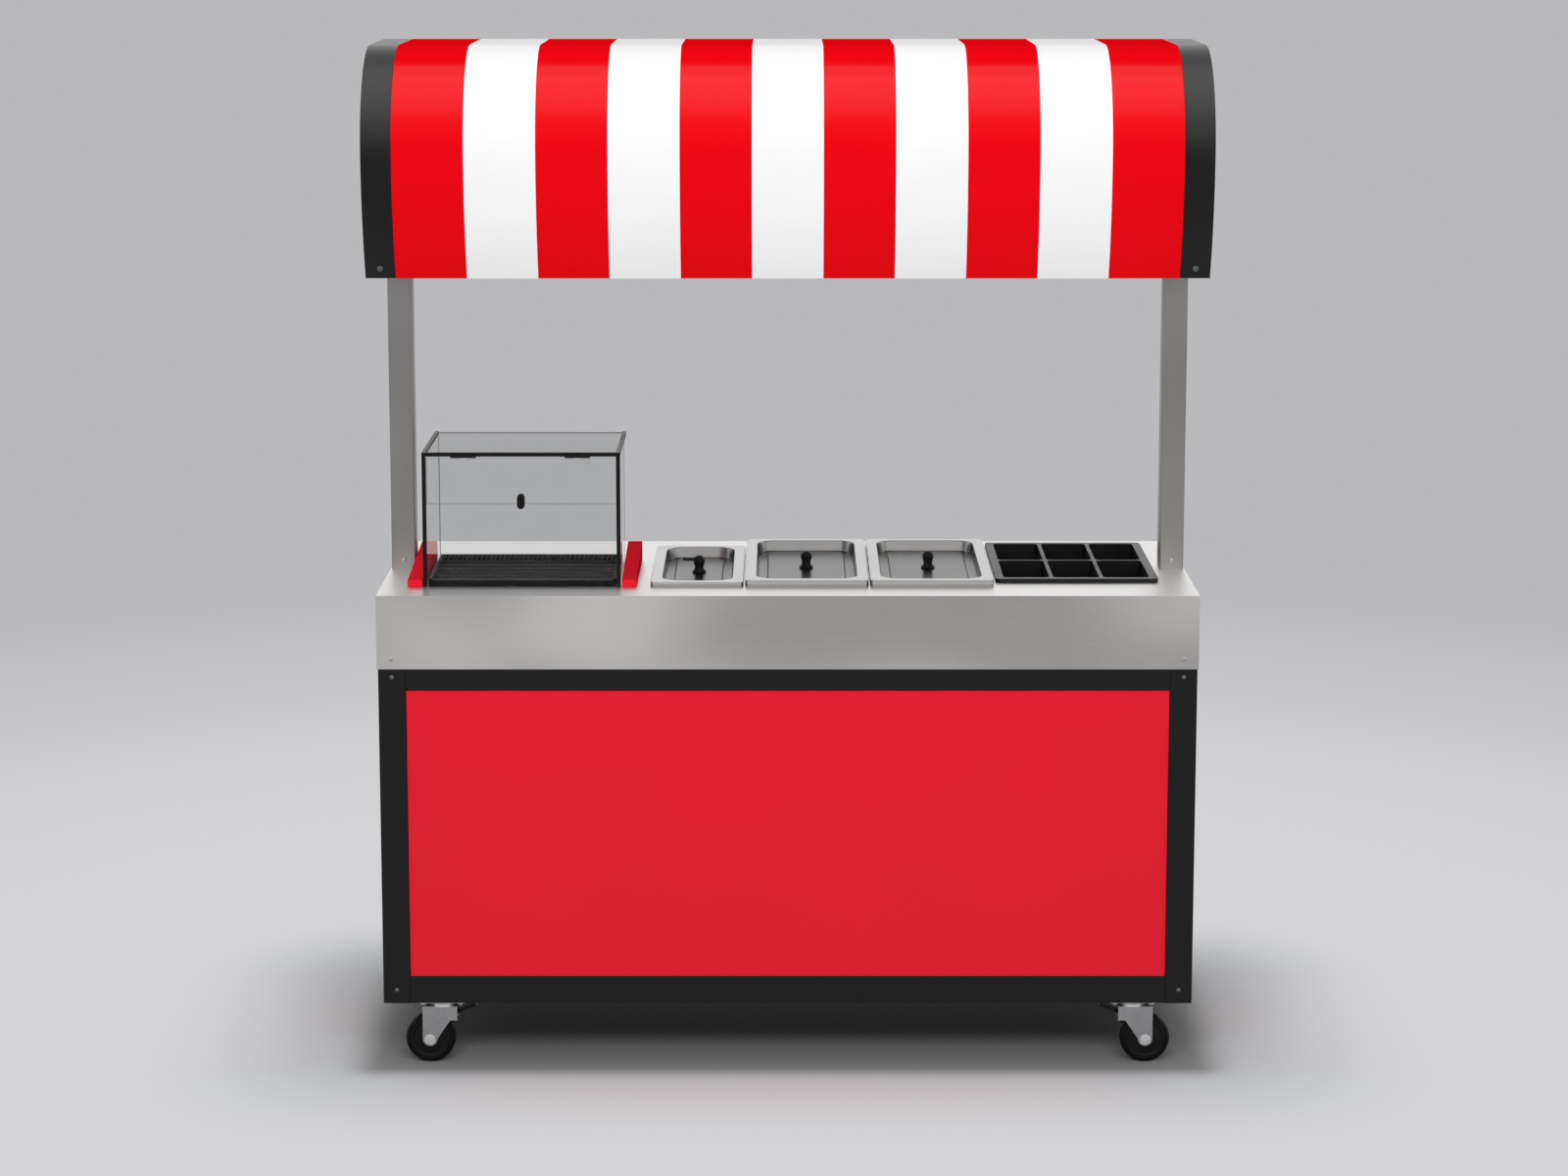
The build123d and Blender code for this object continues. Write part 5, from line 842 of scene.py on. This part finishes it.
class CART_OT_pans(bpy.types.Operator):
    """Three pans with recessed lids and knobs"""

    bl_idname = "cart.pans"
    bl_label = "Pans and lids"

    def execute(self, context):
        for name in PANS:
            self.pan(name)
            self.lid(name)
            self.knob(name)
        return {"FINISHED"}

    def pan(self, name):
        size = sizes()
        low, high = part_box(f"{name}_pan")
        width, depth = high.x - low.x, high.y - low.y
        rim_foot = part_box("counter_top")[1].z
        lean = (high.z - low.z) * tan(PAN_TAPER)
        mouth = 2 * size.pan_flange
        base = mouth + 2 * lean
        rings = [
            (width, depth, size.rim_corner, rim_foot),
            (width, depth, size.rim_corner, high.z),
            (width - mouth, depth - mouth, size.pan_corner, high.z),
            (width - base, depth - base, size.pan_corner - lean, low.z + size.pan_sheet),
        ]
        shape = pressed_sheet(rings, (low + high) / 2, size.pan_sheet, size.pan_bend)
        finish_piece(shape, f"{name}_pan_sheet", "sheet", f"{name}_pan")

    def lid(self, name):
        size = sizes()
        low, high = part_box(f"{name}_lid")
        width, depth = high.x - low.x, high.y - low.y
        rim_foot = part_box(f"{name}_pan")[1].z
        floor = low.z + size.lid_sheet
        land = 2 * size.lid_flange
        wall = land + 2 * (high.z - floor) * tan(LID_TAPER)
        valley = wall + 2 * size.lid_valley
        boss = valley + 2 * size.lid_boss * tan(BOSS_TAPER)
        corner = size.lid_corner
        rings = [
            (width, depth, size.rim_corner, rim_foot),
            (width, depth, size.rim_corner, high.z),
            (width - land, depth - land, corner, high.z),
            (width - wall, depth - wall, corner * WALL_CORNER, floor),
            (width - valley, depth - valley, corner * VALLEY_CORNER, floor),
            (width - boss, depth - boss, corner * BOSS_CORNER, floor + size.lid_boss),
        ]
        centre = (low + high) / 2
        shape = pressed_sheet(rings, centre, size.lid_sheet, size.lid_bend)
        # Rim faces take the lighter rim steel: a painted highlight on the lids' flanges
        for face in shape.faces:
            away = face.calc_center_median() - centre
            on_rim = abs(away.x) > (width - land) / 2 or abs(away.y) > (depth - land) / 2
            face.material_index = int(on_rim)
        finish_piece(shape, f"{name}_lid_sheet", "sheet rim", f"{name}_lid")

    def knob(self, name):
        low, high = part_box(f"{name}_lid_knob")
        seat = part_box(f"{name}_lid")
        centre = (seat[0] + seat[1]) / 2
        foot = low.z
        tall = high.z - foot
        base = (high.y - low.y) / 2
        line = scaled(KNOB_LINE, base, tall)
        shape = bmesh.new()
        turn_line(shape, line, Matrix.Translation((centre.x, centre.y, foot)), sizes().spin_steps)
        tidy(shape)
        round_edges(shape, sharp_edges(shape), sizes().plastic_edge, 3)
        if centre.x - low.x > base + MERGE:
            lever, shelf = sizes().lid_tab, foot + tall * TAB_HEIGHT
            tab = add_box(
                shape, (low.x, centre.y - lever / 2, shelf),
                (centre.x, centre.y + lever / 2, shelf + lever),
            )
            edges = list({edge for vert in tab for edge in vert.link_edges})
            round_edges(shape, edges, sizes().plastic_edge, 3)
        finish_piece(shape, f"{name}_lid_grip", "trim", f"{name}_lid_knob")


class CART_OT_condiments(bpy.types.Operator):
    """Black tray with six pockets"""

    bl_idname = "cart.condiments"
    bl_label = "Condiment tray"

    def execute(self, context):
        dress("condiment_tray", "tray", sizes().plastic_edge)
        return {"FINISHED"}


class CART_OT_bun_case(bpy.types.Operator):
    """Glass bun case with trim, flap, rack, crumb tray and cheeks"""

    bl_idname = "cart.bun_case"
    bl_label = "Bun case"

    def execute(self, context):
        size = sizes()
        self.hinged("case_frame")
        self.panes("case_panes")
        self.panes("flap_pane")
        self.hinged("flap_fittings")
        dress("case_cheeks", "cheek", size.plastic_edge)
        dress("crumb_tray", "coated", size.metal_edge)
        self.rack()
        return {"FINISHED"}

    def panes(self, node):
        """Panes with ground edges; the level one on top takes a darker tint, painted shade for the same
        glass seen at a grazing angle.
        """
        shape = node_shape(node)
        for solid in islands(shape):
            low, high = reach(solid)
            thin = min(range(3), key=lambda axis: high[axis] - low[axis])
            for face in {face for vert in solid for face in vert.link_faces}:
                flat = abs(face.normal[thin]) > FACING
                face.material_index = (2 if thin == 2 else 0) if flat else 1
        round_edges(shape, sharp_edges(shape), sizes().sheet_edge, 1)
        finish_piece(shape, f"{node}.dressed", "glass glass_edge smoked", node)

    def hinged(self, node):
        """Black trim, with the hinge leaves at the flap's head in satin alloy."""
        low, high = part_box("flap_pane")
        shape = node_shape(node)
        round_edges(shape, sharp_edges(shape), sizes().metal_edge)
        for face in shape.faces:
            middle = face.calc_center_median()
            leaf = low.x < middle.x < high.x and middle.y < high.y
            face.material_index = int(leaf and (low.z + high.z) / 2 < middle.z < high.z)
        finish_piece(shape, f"{node}.dressed", "trim alloy", node)

    def rack(self):
        """Welded rack of fine wires in a heavier border."""
        low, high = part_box("wire_rack")
        wire = sizes().rack_wire
        border = 2 * (high.z - low.z)
        shape = bmesh.new()
        for axis in (0, 1):
            other = 1 - axis
            span = high[other] - low[other]
            count = round(span / (sizes().rack_cross if other else sizes().rack_pitch))
            for number in range(count + 1):
                edge = number in (0, count)
                half = border / 2 if edge else wire / 2
                middle = low[other] + half if number == 0 else low[other] + span * number / count
                middle = high[other] - half if number == count else middle
                near, far = low.copy(), high.copy()
                near[other], far[other] = middle - half, middle + half
                if not edge:
                    near.z = low.z + wire * (1 - axis)
                    far.z = near.z + wire
                add_box(shape, near, far)
        finish_piece(shape, "bun_rack", "wire", "wire_rack")


class CART_OT_cabinet(bpy.types.Operator):
    """Cabinet: frame tubes, panels, floor and doors"""

    bl_idname = "cart.cabinet"
    bl_label = "Cabinet"

    def execute(self, context):
        size = sizes()
        for node in ("corner_posts", "frame_rails", "counter_rails", "frame_struts"):
            dress(node, "frame")
        for node in ("front_panel", "end_panels"):
            dress(node, "panel", size.metal_edge)
        for node in ("left_door", "right_door"):
            dress(node, "panel", size.metal_edge)
            dress(f"{node}_fittings", "steel", size.sheet_edge)
        dress("door_hardware", "steel", size.sheet_edge)
        paint("panel_stops", "frame")
        paint("cabinet_floor", "sheet")
        return {"FINISHED"}


class CART_OT_water_bath(bpy.types.Operator):
    """Hot water bath under the pans"""

    bl_idname = "cart.water_bath"
    bl_label = "Water bath"

    def execute(self, context):
        dress("water_tank", "sheet")
        dress("heating_element", "steel")
        dress("drain_valve", "brass")
        dress("drain_lever", "trim", sizes().metal_edge)
        return {"FINISHED"}


class CART_OT_controls(bpy.types.Operator):
    """Control panel with dial, switch, pilot lamp and power inlet"""

    bl_idname = "cart.controls"
    bl_label = "Controls"

    def execute(self, context):
        size = sizes()
        dress("control_panel", "coated", size.metal_edge)
        dress("thermostat_knob", "trim", size.metal_edge)
        dress("power_switch", "trim", size.metal_edge)
        dress("pilot_lamp", "lamp", size.sheet_edge)
        dress("power_inlet", "trim", size.sheet_edge)
        return {"FINISHED"}


class CART_OT_casters(bpy.types.Operator):
    """Four casters with plates, forks, wheels and brake pedals"""

    bl_idname = "cart.casters"
    bl_label = "Casters"

    def execute(self, context):
        size = sizes()
        dress("caster_plates", "zinc", size.sheet_edge)
        dress("caster_bolts", "zinc", size.sheet_edge)
        for corner in CORNERS:
            self.fork(corner)
            self.wheel(corner)
            if corner.startswith("front"):
                dress(f"brake_pedal_{corner}", "trim", size.metal_edge)
        return {"FINISHED"}

    def fork(self, corner):
        """Plated fork with bright nuts and washers on its axle."""
        node = f"caster_fork_{corner}"
        low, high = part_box(node)
        size = sizes()
        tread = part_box(f"caster_wheel_{corner}")
        axle = (tread[0] + tread[1]) / 2
        nut, hole, rim, sheet = size.axle_nut, size.axle_hole, size.axle_washer, size.pan_sheet
        shape = node_shape(node)
        round_edges(shape, sharp_edges(shape), size.metal_edge)
        for seat, side in ((low.y + nut, -1), (high.y - nut, 1)):
            line = [(hole, 0), (rim, 0), (rim, sheet), (hole, sheet), (hole, 0)]
            place = axis_place((axle.x, seat, axle.z), (0, side, 0))
            turn_line(shape, line, place, size.spin_steps // 2)
        for face in shape.faces:
            middle = face.calc_center_median().y
            face.material_index = int(middle < low.y + nut - MERGE or middle > high.y - nut + MERGE)
        finish_piece(shape, f"{node}.dressed", "zinc steel", node)

    def wheel(self, corner):
        """Wheel with a rounded tread, a groove beside it and a raised hub."""
        node = f"caster_wheel_{corner}"
        low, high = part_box(node)
        centre = (low + high) / 2
        radius = (high.z - low.z) / 2
        half = (high.y - low.y) / 2
        side = scaled(WHEEL_SIDE, radius, half)
        line = side + [(out, -offset) for out, offset in reversed(side)] + [side[0]]
        shape = bmesh.new()
        turn_line(shape, line, axis_place(centre, (0, 1, 0)), sizes().spin_steps)
        tidy(shape)
        round_edges(shape, sharp_edges(shape), sizes().metal_edge)
        for face in shape.faces:
            reach_out = face.calc_center_median() - centre
            face.material_index = int(Vector((reach_out.x, 0, reach_out.z)).length < radius * WHEEL_CORE)
        finish_piece(shape, f"caster_tyre_{corner}", "tyre core", node)


class CART_OT_fasteners(bpy.types.Operator):
    """Domed socket screws at the corners of panels, posts and caps"""

    bl_idname = "cart.fasteners"
    bl_label = "Fasteners"

    def execute(self, context):
        shape = bmesh.new()
        for low, high in self.places():
            self.screw(shape, low, high)
        tidy(shape)
        apron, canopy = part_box("counter_top")[0].z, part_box("canopy_ends")[0].z
        # Screws between the counter's foot and the canopy take the lighter rim steel; the others take the
        # darker screw colour
        for face in shape.faces:
            face.material_index = int(apron < face.calc_center_median().z < canopy)
        finish_piece(shape, "socket_screws", "screw rim", "panel_screws")
        return {"FINISHED"}

    def places(self):
        """Boxes of the screws, one for each separate solid of the node."""
        shape = node_shape("panel_screws")
        boxes = [reach(solid) for solid in islands(shape)]
        shape.free()
        return sorted(boxes, key=lambda box: tuple(box[0]))

    def screw(self, shape, low, high):
        size = high - low
        axis = max(range(3), key=lambda number: size[number])
        radius = max(size[number] for number in range(3) if number != axis) / 2
        middle = (low + high) / 2
        outward = Vector((0, 0, 0))
        outward[axis] = 1 if middle[axis] > 0 else -1
        height = SCREW_HEAD * size[axis]
        seat = middle + outward * (size[axis] / 2 - height)
        line = scaled(SCREW_LINE, radius, height)
        turn_line(shape, line, axis_place(seat, outward), sizes().spin_steps // 2)


class CART_OT_stage(bpy.types.Operator):
    """Floor with a painted shadow under the cart, soft studio light and the camera"""

    bl_idname = "cart.stage"
    bl_label = "Studio"

    def execute(self, context):
        scene = context.scene
        scene.view_settings.view_transform = "Standard"
        self.floor(scene.cart_colours)
        self.world(scene.cart_colours, scene.studio)
        for number, share in enumerate(OVERHEAD_SHARES):
            place = (0, OVERHEAD_FIRST + OVERHEAD_STEP * number, OVERHEAD_HEIGHT)
            power = scene.studio.overhead * share
            self.lamp(f"overhead_lamp_{number}", place, (0, 0, 0), OVERHEAD_SIZE, power)
        front = self.lamp("front_lamp", FRONT_PLACE, FRONT_TURN, FRONT_SIZE, scene.studio.front)
        front.visible_glossy = False
        self.camera(scene.studio)
        return {"FINISHED"}

    def floor(self, tone):
        shape = bmesh.new()
        bmesh.ops.create_circle(shape, cap_ends=True, radius=FLOOR_RADIUS, segments=FLOOR_SEGMENTS)
        mesh = bpy.data.meshes.new("floor")
        shape.to_mesh(mesh)
        shape.free()
        made = new_finish("floor_paper")
        where = made.place()
        distance = made.node("ShaderNodeVectorMath", {"operation": "LENGTH"}, {0: where}, "Value")
        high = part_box("frame_rails")[1]
        beside = [
            abs(made.along(where, axis)).more_than(half)
            for axis, half in (("X", high.x), ("Y", high.y))
        ]
        around = made.node("ShaderNodeCombineXYZ", None, {0: beside[0], 1: beside[1]})
        clear = made.node("ShaderNodeVectorMath", {"operation": "LENGTH"}, {0: around}, "Value")
        fibres = made.noise(made.place(), 400.0, 2.0)
        shade = made.blend(made.span(distance, *PAPER_FADE), tone.floor, tone.backdrop)
        lit = made.blend(made.span(clear, *CART_EDGE), tone.floor_painted_shadow, tone.floor)
        for gap, share in zip(beside, COOL_SHARES):
            lit = made.blend(share * made.span(gap, *CART_EDGE), lit, tone.floor_tint_against_red_glow)
        paper = made.principled({
            "Base Color": lit, "Roughness": 0.75 + 0.1 * fibres, "Specular IOR Level": 0.2,
        })
        glow = made.node("ShaderNodeEmission", None, {"Color": shade})
        mesh.materials.append(made.surface(made.mix_shader(made.span(clear, *SHADOW_FADE), paper, glow)))
        floor = bpy.data.objects.new("floor", mesh)
        bpy.context.scene.collection.objects.link(floor)

    def world(self, tone, studio):
        world = bpy.data.worlds.new("studio")
        bpy.context.scene.world = world
        made = Finish(world)
        camera, glossy, glass = (
            made.node("ShaderNodeLightPath", output=f"Is {ray} Ray")
            for ray in ("Camera", "Glossy", "Transmission")
        )
        direction = made.node("ShaderNodeTexCoord", output="Generated")
        rise = made.along(direction, "Z")
        behind = made.span(made.along(direction, "Y"), *BEHIND)
        view = made.blend(made.span(rise, *HORIZON), tone.backdrop, (studio.glow,) * 3)
        view = made.blend(behind * made.span(rise, *CEILING_EDGE), view, (studio.ceiling,) * 3)
        sky = made.span(rise, *SKY_RISE, *(share * studio.dome for share in SKY_SHARES))
        shade = made.blend(glossy, sky, view)
        shade = made.blend(camera + glass, shade, tone.backdrop)
        light = made.node("ShaderNodeBackground", None, {"Color": shade})
        made.node("ShaderNodeOutputWorld", None, {"Surface": light})

    def lamp(self, name, place, turn, size, power):
        light = bpy.data.lights.new(name, "AREA")
        light.shape = "RECTANGLE"
        light.size, light.size_y = size
        light.energy = power
        lamp = bpy.data.objects.new(name, light)
        lamp.location = place
        lamp.rotation_euler = turn
        lamp.visible_camera = False
        bpy.context.scene.collection.objects.link(lamp)
        return lamp

    def camera(self, studio):
        camera = bpy.data.objects.new("camera", bpy.data.cameras.new("camera"))
        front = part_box("counter_top")[0].y
        camera.location = (studio.camera_side, front - studio.camera_distance, studio.camera_height)
        camera.rotation_euler = (pi / 2 - studio.camera_tilt, 0, 0)
        camera.data.sensor_width = SENSOR_WIDTH
        camera.data.lens = studio.camera_lens
        camera.data.shift_y = studio.camera_shift
        bpy.context.scene.collection.objects.link(camera)
        bpy.context.scene.camera = camera


OPERATORS = (
    CART_OT_stage, CART_OT_canopy, CART_OT_posts, CART_OT_counter, CART_OT_pans, CART_OT_condiments,
    CART_OT_bun_case, CART_OT_cabinet, CART_OT_water_bath, CART_OT_controls, CART_OT_casters,
    CART_OT_fasteners,
)


class CART_PT_panel(bpy.types.Panel):
    """Lists the cart's pieces in the sidebar"""

    bl_idname = "CART_PT_panel"
    bl_label = "Hot dog cart"
    bl_space_type = "VIEW_3D"
    bl_region_type = "UI"
    bl_category = "Cart"

    def draw(self, context):
        for operator in OPERATORS:
            self.layout.operator(operator.bl_idname)


CLASSES = (CartSizes, CartColours, StudioLevels, *OPERATORS, CART_PT_panel)


def register():
    for made in CLASSES:
        bpy.utils.register_class(made)
    bpy.types.Scene.cart_sizes = PointerProperty(type=CartSizes)
    bpy.types.Scene.cart_colours = PointerProperty(type=CartColours)
    bpy.types.Scene.studio = PointerProperty(type=StudioLevels)


def unregister():
    del bpy.types.Scene.studio
    del bpy.types.Scene.cart_colours
    del bpy.types.Scene.cart_sizes
    for made in reversed(CLASSES):
        bpy.utils.unregister_class(made)


def main():
    register()
    for operator in OPERATORS:
        group, name = operator.bl_idname.split(".")
        getattr(getattr(bpy.ops, group), name)()


if __name__ == "__main__":
    main()
